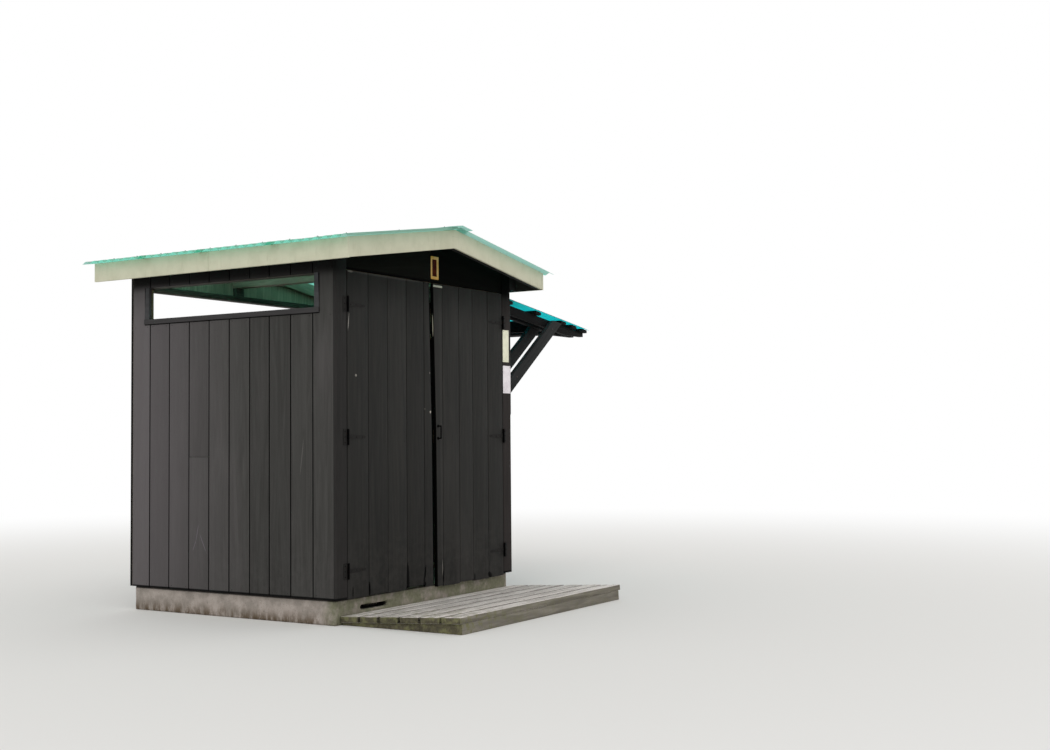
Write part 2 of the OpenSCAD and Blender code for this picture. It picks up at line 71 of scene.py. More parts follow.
# Concrete curb and floor: cast in place against rough boards, with the hollow broken out of its front face.
# The curb is pale and gritty, stained by soil along the ground and green with moss at its front lip; a
# painted shadow runs along it under the boards' feet, and painted shade fills its hollow.
def tint(red, green, blue):
    """A colour named from 0 to 255, in the linear values that a shader takes."""
    return tuple(((c / 255 + 0.055) / 1.055) ** 2.4 for c in (red, green, blue)) + (1.0,)


class Steps:
    """A node tree under way: each step adds one node and hands back what it gives."""

    def __init__(self, tree):
        self.tree = tree

    def step(self, kind, feeds, **settings):
        node = self.tree.nodes.new(kind)
        for name, value in settings.items():
            setattr(node, name, value)
        for name, value in feeds.items():
            if isinstance(value, bpy.types.NodeSocket):
                self.tree.links.new(value, node.inputs[name])
            else:
                node.inputs[name].default_value = value
        return node

    def maths(self, operation, first, second):
        return self.step("ShaderNodeMath", {0: first, 1: second}, operation=operation).outputs[0]

    def times(self, first, second):
        return self.maths("MULTIPLY", first, second)


class Finish(Steps):
    """A surface finish: its material, and the steps that lead to its colour, roughness and relief."""

    def __init__(self, name, roughness=0.85, shine=0.25):
        self.material = bpy.data.materials.new(name)
        self.material.use_nodes = True
        super().__init__(self.material.node_tree)
        self.shader = self.tree.nodes["Principled BSDF"]
        self.shader.inputs["Roughness"].default_value = roughness
        self.shader.inputs["Specular IOR Level"].default_value = shine

    def place(self):
        return self.step("ShaderNodeTexCoord", {}).outputs["Object"]

    def along(self, axis):
        return self.step("ShaderNodeSeparateXYZ", {"Vector": self.place()}).outputs[axis]

    def ramp(self, axis, none, full):
        """How far a place has come from one height, depth or breadth, 0, to another, 1."""
        return self.between(self.along(axis), none, full)

    def outward(self, axis, none, full):
        """The same, counted from the middle of the building to both sides."""
        return self.between(self.maths("ABSOLUTE", self.along(axis), 0.0), none, full)

    def stored(self, name, output):
        return self.step("ShaderNodeAttribute", {}, attribute_name=name).outputs[output]

    def speckle(self, vector, size, detail=4.0, rough=0.6, twist=0.0):
        feeds = {"Vector": vector, "Scale": 1 / size, "Detail": detail}
        feeds.update({"Roughness": rough, "Distortion": twist})
        return self.step("ShaderNodeTexNoise", feeds).outputs["Fac"]

    def streaks(self, vector, scale, size, **kind):
        """Speckle drawn out along the axis whose scale is smallest."""
        drawn = self.step("ShaderNodeMapping", {"Vector": vector, "Scale": scale}).outputs["Vector"]
        return self.speckle(drawn, size, **kind)

    def between(self, value, low, high):
        feeds = {"Value": value, "From Min": low, "From Max": high}
        return self.step("ShaderNodeMapRange", feeds, interpolation_type="SMOOTHSTEP").outputs["Result"]

    def blend(self, share, under, over, how="MIX"):
        feeds = {0: share, 6: under, 7: over}
        return self.step("ShaderNodeMix", feeds, data_type="RGBA", blend_type=how).outputs[2]

    def coat(self, share, paint):
        """Lays a paint over the colour so far, as thick as its share."""
        self.colour = self.blend(share, self.colour, paint)

    def toned(self, spread):
        """Gives each board its own tone, up to half the spread darker or lighter."""
        tone = self.maths("MULTIPLY_ADD", self.stored("tone", "Fac"), spread)
        tone.node.inputs[2].default_value = 1 - spread / 2
        self.colour = self.blend(1.0, self.colour, tone, how="MULTIPLY")

    def mark(self, centre, reach, paint, turn):
        """Lays on a small worn spot: a ragged oval with half sizes reach, turned about the axes."""
        feeds = {"Vector": self.place(), "Location": centre, "Rotation": turn, "Scale": reach}
        oval = self.step("ShaderNodeMapping", feeds, vector_type="TEXTURE").outputs["Vector"]
        away = self.step("ShaderNodeVectorMath", {0: oval}, operation="LENGTH").outputs["Value"]
        ragged = self.maths("ADD", away, self.times(self.speckle(self.place(), 0.008), 0.9))
        self.coat(self.between(ragged, 1.5, 1.2), paint)

    def done(self, patches, least, most, height, depth):
        """Gives the surface its colour, its roughness over the patches and its relief."""
        feeds = {"Value": patches, "To Min": least, "To Max": most}
        spread = self.step("ShaderNodeMapRange", feeds).outputs["Result"]
        bump = self.step("ShaderNodeBump", {"Height": height, "Distance": depth, "Strength": 1.0})
        self.tree.links.new(self.colour, self.shader.inputs["Base Color"])
        self.tree.links.new(spread, self.shader.inputs["Roughness"])
        self.tree.links.new(bump.outputs["Normal"], self.shader.inputs["Normal"])
        return self.material


def concrete_finish(name, pale, dark, outdoors, shaded_hollows=()):
    """Cast concrete, with a share, outdoors, of moss and of a black painted shadow line under the boards'
    feet. Hollows are filled with painted shade.
    """
    finish = Finish(name, shine=0.2)
    spot = finish.place()
    lumps = finish.speckle(spot, 0.11, detail=5)
    grit = finish.speckle(spot, 0.006, detail=3)
    stains = finish.streaks(spot, (1, 1, 0.35), 0.05, detail=6, rough=0.7)
    finish.colour = finish.blend(finish.between(lumps, 0.35, 0.65), pale, dark)
    finish.coat(finish.between(grit, 0.55, 0.8), tint(104, 98, 92))
    soil = finish.times(finish.ramp("Z", 0.1, 0.0), finish.between(stains, 0.35, 0.6))
    finish.coat(soil, tint(92, 78, 62))
    lip = finish.times(finish.ramp("Y", -0.75, -0.87), outdoors)
    moss = finish.times(lip, finish.between(finish.speckle(spot, 0.07, detail=6), 0.25, 0.6))
    greens = finish.blend(finish.speckle(spot, 0.02, detail=5), tint(70, 72, 54), tint(142, 142, 116))
    finish.coat(moss, greens)
    # Painted shadow: a black line on the curb's outer faces just below the boards' feet, which overhang it.
    faces = finish.maths("MAXIMUM", finish.ramp("Y", -0.874, -0.882), finish.outward("X", 0.97, 0.978))
    board_foot_shadow = finish.times(finish.times(faces, outdoors), finish.ramp("Z", 0.144, 0.153))
    finish.coat(board_foot_shadow, tint(14, 13, 12))
    # Painted shade: each hollow broken out of the curb's face is filled with near black.
    for middle, reach in shaded_hollows:
        finish.mark(middle, reach, tint(14, 13, 11), (0, 0, 0))
    height = finish.maths("ADD", lumps, finish.times(grit, 0.25))
    return finish.done(grit, 0.8, 1.0, height, 0.004)


def merged_copy(node):
    """A CAD node's mesh with its loose triangles joined into flat faces."""
    form = bmesh.new()
    form.from_mesh(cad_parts[node].data)
    bmesh.ops.remove_doubles(form, verts=form.verts, dist=0.00002)
    bmesh.ops.dissolve_limit(form, angle_limit=math.radians(1), verts=form.verts, edges=form.edges)
    return form


def shown(name, form, *finishes, crease=35):
    """Puts a finished form into the scene, smooth across edges blunter than its crease angle."""
    mesh = bpy.data.meshes.new(name)
    form.to_mesh(mesh)
    form.free()
    for finish in finishes:
        mesh.materials.append(finish)
    mesh.polygons.foreach_set("use_smooth", [True] * len(mesh.polygons))
    mesh.set_sharp_from_angle(angle=math.radians(crease))
    piece = bpy.data.objects.new(name, mesh)
    bpy.context.scene.collection.objects.link(piece)
    return piece


def fitted(piece, node=None, body="building"):
    """Hides the node that a piece replaces and gives the piece the body that it moves with."""
    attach(piece, body)
    if node:
        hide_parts(node)


# The curb's hollow, its middle and half sizes, filled with painted shade.
hollow_shade = ((-0.576, -0.83, 0.088), (0.21, 0.05, 0.034))
curb_concrete = concrete_finish("curb_concrete", tint(174, 164, 156), tint(146, 138, 130), 0.9, [hollow_shade])
curb_voxel = 0.01
curb_wear = 0.005
least_wear = 0.0002
ground_rim = 0.01

blank = shown("curb_blank", merged_copy("foundation_curb"), curb_concrete)
cast = blank.modifiers.new("cast", "REMESH")
cast.mode = "VOXEL"
cast.voxel_size = curb_voxel
cast_blank = blank.evaluated_get(bpy.context.evaluated_depsgraph_get())
rough_curb = bmesh.new()
rough_curb.from_mesh(bpy.data.meshes.new_from_object(cast_blank))
bpy.data.objects.remove(blank)
every_way = {"use_axis_x": True, "use_axis_y": True, "use_axis_z": True}
bmesh.ops.smooth_vert(rough_curb, verts=rough_curb.verts, factor=0.5, **every_way)
rough_curb.normal_update()
for vert in rough_curb.verts:
    lumps = noise.fractal(vert.co * 9, 1.0, 2.0, 4)
    chips = max(0.0, noise.noise(vert.co * 31) - 0.25)
    worn = curb_wear * (0.5 + 0.4 * lumps + 1.6 * chips)
    if vert.co.z > ground_rim:
        vert.co -= vert.normal * max(least_wear, worn)
fitted(shown("curb_cast", rough_curb, curb_concrete, crease=60), "foundation_curb")

slab_concrete = concrete_finish("floor_concrete", tint(132, 126, 118), tint(108, 102, 96), 0.0)
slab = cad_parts["floor_slab"]
slab.data.materials.clear()
slab.data.materials.append(slab_concrete)


# Framing: sawn softwood plates, posts, studs and rails, nailed together inside the boards.
# It is bare timber that has browned, and shows under the roof and when a door stands open.
def lay_grain(form, seed):
    """Gives each solid in a form its own lengthwise grain and its own tone."""
    draw = random.Random(seed)
    grain = form.verts.layers.float_vector.new("grain")
    tone = form.verts.layers.float.new("tone")
    form.verts.index_update()
    found = set()
    for start in form.verts:
        if start.index in found:
            continue
        found.add(start.index)
        solid = [start]
        for vert in solid:
            for edge in vert.link_edges:
                other = edge.other_vert(vert)
                if other.index not in found:
                    found.add(other.index)
                    solid.append(other)
        places = np.array([vert.co for vert in solid])
        middle = places.mean(0)
        axes = np.linalg.svd(places - middle, full_matrices=False)[2]
        shift = np.array([draw.uniform(0, 40) for _ in range(3)])
        shade = draw.random()
        for vert, run in zip(solid, (places - middle) @ axes.T + shift):
            vert[grain] = run
            vert[tone] = shade


def timber_finish(name, dark, pale, outdoors=None):
    """Bare sawn timber. What reaches out past the walls takes the colour outdoors, where that is given, as
    painted shade.
    """
    finish = Finish(name)
    grain = finish.stored("grain", "Vector")
    fibres = finish.streaks(grain, (0.05, 1, 1), 0.0035, detail=5)
    figure = finish.streaks(grain, (0.07, 1, 1), 0.03, detail=3, twist=1.2)
    finish.colour = finish.blend(finish.between(figure, 0.3, 0.7), dark, pale)
    finish.coat(finish.between(fibres, 0.5, 0.75), dark)
    finish.toned(0.25)
    # Painted shade on what reaches out past the walls.
    if outdoors:
        past_sides = finish.outward("X", 0.985, 0.995)
        finish.coat(finish.maths("MAXIMUM", past_sides, finish.outward("Y", 0.89, 0.9)), outdoors)
    height = finish.maths("ADD", fibres, finish.times(figure, 0.6))
    return finish.done(fibres, 0.75, 0.95, height, 0.0006)


rounding = {"affect": "EDGES", "offset_type": "OFFSET", "segments": 2, "profile": 0.5, "material": -1}


def eased_copy(node, ease=0.002, seed=1):
    """A CAD node's timbers with their sharp edges taken off."""
    form = merged_copy(node)
    sharp = [edge for edge in form.edges if edge.is_manifold and edge.calc_face_angle(0) > math.radians(20)]
    bmesh.ops.bevel(form, geom=sharp, offset=ease, **rounding)
    lay_grain(form, seed)
    return form


framing = timber_finish("framing_timber", tint(112, 98, 78), tint(150, 134, 110))
grey_framing = timber_finish("grey_framing", tint(70, 68, 62), tint(98, 95, 87))
frame_nodes = ["sole_plate", "corner_posts", "wall_studs", "wall_rails", "top_plates", "door_header"]
for seed, node in enumerate(frame_nodes + ["back_header"]):
    wood = grey_framing if node in ("top_plates", "back_header") else framing
    fitted(shown(node + "_sawn", eased_copy(node, seed=seed), wood), node)


# Walls: upright planks 22 mm thick, lapped behind a narrow channel and face nailed to the plates and rails.
# They carry a black-brown stain, dull and dusty near the ground, and no two planks took it quite alike;
# painted shade darkens them under the eaves and at the foot, and the left wall has painted light toward its
# back.
wall_low, wall_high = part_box("left_wall")
back_low, back_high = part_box("back_wall")
sill_low, sill_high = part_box("left_window_frame")
back_sill_low, back_sill_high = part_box("back_window_frame")
sill_foot = sill_low.z
window_head = sill_high.z
channel = 0.008
channel_depth = 0.01
sill_joint = 0.006
plank_ease = 0.0015
face_play = 0.0012
foot_play = 0.004
butt_half = 0.001
butt_step = 0.0008
tongue_lap = 0.001
side_joints = [-0.908, -0.726, -0.542, -0.361, -0.191, -0.010, 0.172, 0.356, 0.543, 0.729, 0.908]


def plank(form, outline, depths, facing):
    """One plank cut to an outline, its outer edges eased. Facing is the axis through its thickness."""
    outer, inner = depths
    corner = [(outer, a, z) if facing == "X" else (a, outer, z) for a, z in outline]
    face = form.faces.new([form.verts.new(place) for place in corner])
    shift = Vector((inner - outer, 0, 0)) if facing == "X" else Vector((0, inner - outer, 0))
    pushed = bmesh.ops.extrude_face_region(form, geom=[face], use_keep_orig=True)["geom"]
    moved = [item for item in pushed if isinstance(item, bmesh.types.BMVert)]
    bmesh.ops.translate(form, verts=moved, vec=shift)
    bmesh.ops.bevel(form, geom=face.edges[:], offset=plank_ease, **rounding)


def oblong(a0, a1, z0, z1):
    return [(a0, z0), (a1, z0), (a1, z1), (a0, z1)]


def board_outlines(a0, a1, z0, z1, window):
    """The outlines of one wall plank, cut round the window opening that it meets."""
    near, far, sill, head = window
    foot = sill - sill_joint
    if a1 <= near or a0 >= far:
        return [oblong(a0, a1, z0, z1)]
    if a0 < near:
        notch = [(a1, foot), (near, foot), (near, head), (a1, head)]
        return [[(a0, z0), (a1, z0)] + notch + [(a1, z1), (a0, z1)]]
    if a1 > far:
        notch = [(a0, head), (far, head), (far, foot), (a0, foot)]
        return [[(a0, z0), (a1, z0), (a1, z1), (a0, z1)] + notch]
    return [oblong(a0, a1, z0, foot), oblong(a0, a1, head, z1)]


def boarded_wall(joints, foot, heads, outer, inner, facing, window, seed, butts=()):
    """The planks of a wall and the tongues behind the channels between them. Heads gives the planks' top at
    a place along the wall, window its opening, and butts the number and height of a plank's butt joint."""
    draw = random.Random(seed)
    form = bmesh.new()
    tongues = bmesh.new()
    into = 1 if inner > outer else -1
    for count, (a0, a1) in enumerate(zip(joints, joints[1:])):
        top = min(heads(a0), heads(a1))
        face = outer + into * draw.uniform(0, face_play)
        low = foot + draw.uniform(0, foot_play)
        for outline in board_outlines(a0 + channel / 2, a1 - channel / 2, low, top, window):
            cuts = [height for number, height in butts if number == count]
            if cuts and len(outline) == 4 and outline[0][1] < cuts[0] < outline[2][1]:
                (b0, z0), (b1, z1) = outline[0], outline[2]
                plank(form, oblong(b0, b1, z0, cuts[0] - butt_half), (face, inner), facing)
                set_back = (face + into * butt_step, inner)
                plank(form, oblong(b0, b1, cuts[0] + butt_half, z1), set_back, facing)
            else:
                plank(form, outline, (face, inner), facing)
        if a1 != joints[-1]:
            low_edge, high_edge = a1 - channel / 2 - tongue_lap, a1 + channel / 2 + tongue_lap
            for outline in board_outlines(low_edge, high_edge, foot, top, window):
                plank(tongues, outline, (outer + into * channel_depth, inner), facing)
    near, far, sill, head = window
    # Painted shadow: a dark strip under the sill, behind the planks' cut below the window.
    if far < joints[-1]:
        shadow = oblong(near + 0.001, far - 0.001, sill - sill_joint, sill)
        plank(tongues, shadow, (outer + into * channel_depth, inner), facing)
    for boards in (form, tongues):
        bmesh.ops.recalc_face_normals(boards, faces=boards.faces)
        lay_grain(boards, seed)
    return form, tongues


def told_apart(form, finish_number):
    """Gives each face of a form the finish that its direction and its middle call for."""
    form.normal_update()
    for face in form.faces:
        face.material_index = int(finish_number(face.normal, face.calc_center_median()))
    return form


def room_side(form, way):
    """Gives the faces that look one way, into the room or under the roof, the second finish."""
    return told_apart(form, lambda normal, middle: normal.dot(Vector(way)) > 0.9)


def stained_finish(
    name, dark, pale, dust, marks=(), eaves=None, foot=None,
    back_light=False, splashed=0.2, shine=0.1, deep=0.0,
):
    """A dark wood stain, dusty near the ground. Where asked, it takes painted shade under the eaves, a
    black painted shadow line just above the foot, painted light growing toward the back and painted shade
    growing toward the top. A mark is the middle, half sizes, turn and colour of a scuff."""
    finish = Finish(name, 0.75, shine)
    grain = finish.stored("grain", "Vector")
    spot = finish.place()
    fibres = finish.streaks(grain, (0.03, 1, 1), 0.004, detail=6)
    figure = finish.streaks(grain, (0.06, 1, 1), 0.045, detail=4, twist=1.5)
    finish.colour = finish.blend(finish.between(figure, 0.25, 0.75), dark, pale)
    finish.coat(finish.between(fibres, 0.55, 0.8), dark)
    faded = finish.between(finish.streaks(spot, (1, 1, 0.3), 0.35, detail=3), 0.5, 0.75)
    finish.coat(finish.times(faded, 0.35), dust)
    # Painted light: lighter toward the back, where the light falls on the wall.
    if back_light:
        finish.coat(finish.times(finish.ramp("Y", -0.3, 0.9), 0.65), tint(107, 102, 104))
    splash = finish.times(finish.ramp("Z", 0.75, 0.16), splashed)
    mottle = finish.between(finish.speckle(spot, 0.05, detail=6, rough=0.7), 0.35, 0.7)
    finish.coat(finish.times(splash, mottle), dust)
    # Painted shade: darker toward the top, under the roof.
    if deep:
        finish.coat(finish.times(finish.ramp("Z", 1.95, 2.26), deep), tint(18, 17, 16))
    # Painted shade under the eaves.
    if eaves:
        finish.coat(finish.ramp("Z", 2.17, 2.24), eaves)
    # Painted shadow: a black line just above the foot.
    if foot:
        finish.coat(finish.ramp("Z", foot + 0.017, foot + 0.009), tint(6, 6, 6))
    finish.toned(0.3)
    for middle, reach, turn, scuffed in marks:
        finish.mark(middle, reach, scuffed, turn)
    height = finish.maths("ADD", fibres, finish.times(figure, 0.5))
    return finish.done(fibres, 0.62, 0.85, height, 0.0005)


side_dust = tint(104, 98, 104)
side_scuffs = [
    ((-1.011, 0.277, 0.543), (0.02, 0.003, 0.06), (0.21, 0, 0), side_dust),
    ((-1.011, 0.302, 0.460), (0.02, 0.003, 0.04), (0.42, 0, 0), side_dust),
    ((-1.011, 0.224, 0.476), (0.02, 0.003, 0.07), (-0.46, 0, 0), side_dust),
    ((-1.011, -0.635, 1.050), (0.02, 0.004, 0.12), (0.13, 0, 0), tint(84, 82, 80)),
]
wall_tints = (tint(60, 59, 57), tint(71, 70, 68), tint(90, 86, 86))
wall_foot = wall_low.z
# Painted shade under the eaves, at the foot and toward the top; the left wall also takes painted light
# toward its back.
eave_shadow_colour = tint(17, 16, 15)
side_light_and_shade = {"eaves": eave_shadow_colour, "foot": wall_foot, "back_light": True, "deep": 0.2}
side_stain_lit_shaded = stained_finish("stained_side_painted_light_shade", *wall_tints, side_scuffs, **side_light_and_shade)
wall_stain_shaded = stained_finish("stained_walls_painted_shade", *wall_tints, eaves=eave_shadow_colour, foot=wall_foot)
# Black stain and painted shade for the channels between planks, and for narrow gaps.
channel_stain_and_shade = stained_finish("stained_tongues_painted_shade", tint(9, 9, 9), tint(13, 12, 12), tint(18, 17, 17))
raw_boards = timber_finish("raw_boards", tint(164, 154, 138), tint(196, 187, 170))
# Painted shade: the right wall's inner faces are near black, as the room behind the doors is dark.
room_side_shade = stained_finish("room_side_shade", tint(20, 19, 18), tint(28, 26, 24), tint(38, 35, 32))
window_half = (sill_high.y - sill_low.y) / 2
back_window_half = (back_sill_high.x - back_sill_low.x) / 2
board_cover = 0.182
even_joints = [-0.911 + board_cover * i for i in range(11)]
side_window = (-window_half, window_half, sill_foot, window_head)
back_window = (-back_window_half, back_window_half, sill_foot, window_head)
beyond_walls = 9.0
no_window = (beyond_walls, beyond_walls + 0.1, 0.0, 0.0)
side_top = wall_high.z


def trimmed(joints, low, high):
    """Joints of a wall, with its end planks cut to the wall's own ends."""
    return [low - channel / 2] + [j for j in joints if low + 0.02 < j < high - 0.02] + [high + channel / 2]


def wall_shown(node, forms, inward, stain, room_stain):
    """Shows a wall's planks in place of its node, and its tongues; black stain and painted shade darken the
    tongues and the planks' sides in the channels between them.
    """
    boards, tongues = (room_side(form, inward) for form in forms)
    along = 0 if inward[1] else 1
    # Painted shade: the planks' sides in the channels take the tongues' near black.
    for face in boards.faces:
        if abs(face.normal[along]) > 0.9:
            face.material_index = 2
    boards = shown(node + "_boards", boards, stain, room_stain, channel_stain_and_shade)
    tongues = shown(node + "_tongues", tongues, channel_stain_and_shade, room_stain)
    fitted(boards, node)
    fitted(tongues)


left_ends = trimmed(side_joints, wall_low.y, wall_high.y)
left_planks = boarded_wall(
    left_ends, wall_low.z, lambda y: side_top, wall_low.x, wall_high.x, "X", side_window, 11, [(6, 1.047)]
)
wall_shown("left_wall", left_planks, (1, 0, 0), side_stain_lit_shaded, raw_boards)

right_ends = trimmed(even_joints, wall_low.y, wall_high.y)
right_planks = boarded_wall(
    right_ends, wall_low.z, lambda y: side_top, -wall_low.x, -wall_high.x, "X", no_window, 12
)
wall_shown("right_wall", right_planks, (-1, 0, 0), wall_stain_shaded, room_side_shade)

beam_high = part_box("ridge_beam")[1]
roof_pitch = math.radians(9.1)


def under_roof(x):
    """Height of the rafters' top edge, which the gable boards run up to."""
    return beam_high.z - math.tan(roof_pitch) * max(0.0, abs(x) - beam_high.x)


back_cover = 0.1851
back_ends = trimmed([-0.833 + back_cover * i for i in range(10)], -1.011, 1.011)
back_planks = boarded_wall(back_ends, back_low.z, under_roof, back_high.y, back_low.y, "Y", back_window, 13)
wall_shown("back_wall", back_planks, (0, -1, 0), wall_stain_shaded, raw_boards)


# Nails of the walls: two through every plank into the sole plate, the rail and the top plate.
# Stain has run over their heads, and a few have started to rust.
def iron_finish(name, paint, rust_share, shine=0.3):
    finish = Finish(name, 0.6, shine)
    spot = finish.place()
    patches = finish.speckle(spot, 0.012, detail=5)
    fine = finish.speckle(spot, 0.002, detail=3)
    rust = finish.times(finish.between(patches, 0.55, 0.72), rust_share)
    finish.colour = finish.blend(rust, paint, tint(86, 50, 32))
    return finish.done(patches, 0.4, 0.8, fine, 0.0003)


def heads(form, spots, way, radius, rise, sides=8):
    """Small fastener heads: each stands on its spot, looks one way and is a little domed."""
    turn = Vector((0, 0, 1)).rotation_difference(Vector(way)).to_matrix()
    size = {"radius1": radius, "radius2": radius * 0.7, "depth": rise}
    for spot in spots:
        made = bmesh.ops.create_cone(form, cap_ends=True, segments=sides, **size)["verts"]
        bmesh.ops.translate(form, vec=(0, 0, rise / 2), verts=made)
        bmesh.ops.rotate(form, cent=(0, 0, 0), matrix=turn, verts=made)
        bmesh.ops.translate(form, vec=spot, verts=made)


def fixings(name, form, finish, body="building", crease=50):
    """Shows nails, screws or bolts."""
    fitted(shown(name, form, finish, crease=crease), body=body)


def nail_places(joints, heights):
    """Where the nails go along a wall: one near each edge of every plank, at each height."""
    inset = 0.026
    rows = [a for a0, a1 in zip(joints, joints[1:]) for a in (a0 + inset, a1 - inset)]
    return [(a, z) for a in rows for z in heights]


nail_steel = iron_finish("nail_steel", tint(38, 36, 35), 0.3, shine=0.1)
nail_sink = 0.0014
rail_low, rail_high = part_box("wall_rails")
sole_low, sole_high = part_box("sole_plate")
head_plate_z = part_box("top_plates")[0].z + 0.03
nail_heights = [(sole_low.z + sole_high.z) / 2, (rail_low.z + rail_high.z) / 2, head_plate_z]
wall_nails = bmesh.new()
side_x = wall_low.x + nail_sink
left_spots = [(side_x, y, z) for y, z in nail_places(left_ends, nail_heights)]
right_spots = [(-side_x, y, z) for y, z in nail_places(right_ends, nail_heights)]
back_spots = [(x, back_high.y - nail_sink, z) for x, z in nail_places(back_ends, nail_heights)]
nail_head = {"radius": 0.003, "rise": 0.0018}
for spots, way in [(left_spots, (-1, 0, 0)), (right_spots, (1, 0, 0)), (back_spots, (0, 1, 0))]:
    heads(wall_nails, spots, way, **nail_head)
fixings("wall_nails", wall_nails, nail_steel, crease=60)


# Corner boards, headers and window frames: single planks nailed over the frame, stained like the walls.
# The headers under the gable are near black with painted shade; painted shade darkens a narrow gap beside
# the window's trims.
# Painted shade on the front corner boards: under the eaves, toward the top and a black line at the foot;
# the right board takes more of it.
corner_tints = (tint(42, 41, 40), tint(50, 48, 47), tint(64, 61, 60))
left_shade = {"eaves": tint(14, 14, 13), "foot": wall_foot, "deep": 0.45}
front_stain = stained_finish("stained_front", *corner_tints, **left_shade)
shaded_tints = (tint(45, 42, 41), tint(53, 49, 48), tint(67, 63, 61))
right_shade = {"eaves": tint(1, 1, 1), "foot": wall_foot, "deep": 0.65, "shine": 0.03}
shaded_front = stained_finish("stained_front_right_painted_shade", *shaded_tints, **right_shade)
# Painted shade: the headers under the gable are near black, the left one a little lighter, with a painted
# black shadow line along its foot.
header_tints = (tint(6, 7, 6), tint(12, 13, 11), tint(16, 16, 14))
header_shade_stain = stained_finish("stained_headers_painted_shade", *header_tints, shine=0.01)
left_header_tints = (tint(13, 14, 12), tint(19, 20, 17), tint(25, 25, 21))
header_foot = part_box("front_header_left")[0].z
left_header_shade_stain = stained_finish("stained_header_left_painted_shade", *left_header_tints, foot=header_foot, shine=0.01)
trim_stain = stained_finish("stained_trims", tint(65, 65, 66), tint(75, 75, 77), tint(88, 86, 88))
sill_stain = stained_finish("stained_sills", tint(58, 57, 57), tint(68, 66, 67), tint(80, 77, 78))
for node, stain in [
    ("front_corner_board_left", front_stain),
    ("front_corner_board_right", shaded_front),
    ("front_header_left", left_header_shade_stain),
    ("front_header_right", header_shade_stain),
]:
    trims = room_side(eased_copy(node, ease=0.0025, seed=len(node)), (0, 1, 0))
    fitted(shown(node + "_planed", trims, stain, raw_boards), node)

trim_gap = 0.008
trim_edge = 0.004
sill_top = sill_foot + 0.034
for node, across, inward, reach in [
    ("left_window_frame", 1, (1, 0, 0), window_half),
    ("back_window_frame", 0, (0, -1, 0), back_window_half),
]:
    form = eased_copy(node, ease=0.002, seed=len(node))
    for vert in form.verts:
        if vert.co.z > sill_top and abs(vert.co[across]) > reach - trim_edge:
            vert.co[across] -= math.copysign(trim_gap, vert.co[across])
    room_side(form, inward)
    for face in form.faces:
        middle = face.calc_center_median()
        if face.material_index == 0 and middle.z < sill_top:
            face.material_index = 2
        # Painted shade: the faces beside the trims' narrow gap take the tongues' near black.
        beside_gap = middle.z > sill_top and abs(middle[across]) > reach - trim_gap - trim_edge
        if beside_gap and abs(face.normal[across]) > 0.6:
            face.material_index = 3
    trims = shown(node + "_planed", form, trim_stain, raw_boards, sill_stain, channel_stain_and_shade)
    fitted(trims, node)


# Roof frame: the ridge beam and the sawn rafters and purlins that it carries, raw inside the room.
# What reaches out under the eaves and gables is painted black as shade.
roof_tints = (tint(168, 158, 142), tint(202, 192, 176))
roof_timber = timber_finish("roof_timber", *roof_tints, outdoors=tint(16, 15, 14))
for seed, node in enumerate(["ridge_beam", "rafters", "purlins", "fly_rafters"]):
    fitted(shown(node + "_sawn", eased_copy(node, seed=40 + seed), roof_timber), node)


# Roof sheets: translucent corrugated sheets in teal, lapped by one wave and screwed to the purlins.
# Weather has dulled the top and left dirt in the troughs; from below they glow and light the room.
roof_low, roof_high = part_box("right_roof_sheet")
wave_size = 0.076
wave_depth = 0.018
sheet_thick = 0.0012
sheet_cover = 0.57
cad_sheet = 0.0025
end_play = 0.006
side_play = 0.001
end_flattened = 0.18
end_ragged = 0.004
washer_sink = 0.0006
crest_washer = {"radius": 0.009, "rise": 0.0016, "sides": 12}
crest_screw = {"radius": 0.0048, "sides": 6}


def sheet_finish(name, colour, through, grime, share, verge=None):
    """A sheet's own colours, the colour that comes through it, and the share of light that does.
    Past the place verge, where its ends stand out over the gables, the sheet has greyed."""
    finish = Finish(name, 0.4, 0.4)
    spot = finish.place()
    cloudy = finish.speckle(spot, 0.25, detail=5)
    specks = finish.streaks(spot, (0.3, 1, 1), 0.02, detail=6, rough=0.75)
    finish.colour = finish.blend(finish.between(cloudy, 0.3, 0.75), colour, grime)
    finish.coat(finish.times(finish.between(specks, 0.58, 0.78), 0.45), tint(96, 96, 72))
    finish.done(specks, 0.3, 0.7, specks, 0.0005)
    if verge:
        ends = finish.outward("Y", verge, verge + 0.01)
        through = finish.blend(ends, through, tint(206, 234, 228))
    glow = finish.step("ShaderNodeBsdfTranslucent", {"Color": through})
    mixed = finish.step("ShaderNodeMixShader", {0: share, 1: finish.shader.outputs[0], 2: glow.outputs[0]})
    finish.tree.links.new(mixed.outputs[0], finish.tree.nodes["Material Output"].inputs["Surface"])
    return finish.material


def corrugated(form, run, y0, waves, pitch, lift, seed):
    """One sheet that lies flat from X = 0 to its run, a number of waves wide, from a trough at y0."""
    wide = waves * pitch
    made = bmesh.ops.create_grid(form, x_segments=14, y_segments=waves * 10, size=0.5)["verts"]
    bmesh.ops.scale(form, vec=(run, wide, 1), verts=made)
    bmesh.ops.translate(form, vec=(run / 2, y0 + wide / 2, 0), verts=made)
    for vert in made:
        phase = 2 * math.pi * (vert.co.y - y0) / pitch
        slack = noise.noise(Vector((vert.co.x * 3, vert.co.y * 5, seed)))
        end = (vert.co.x / run) ** 6
        flat = 1 - end_flattened * end * (0.5 + slack)
        vert.co.z = lift + wave_depth / 2 * (1 - math.cos(phase)) * flat
        vert.co.x -= end_ragged * end * abs(slack)


def laid(form, turn, place):
    """Tips a form that lies flat to the pitch of its slope and moves it to its place."""
    bmesh.ops.rotate(form, cent=(0, 0, 0), matrix=Matrix.Rotation(turn, 3, "Y"), verts=form.verts)
    bmesh.ops.translate(form, vec=place, verts=form.verts)
    return form


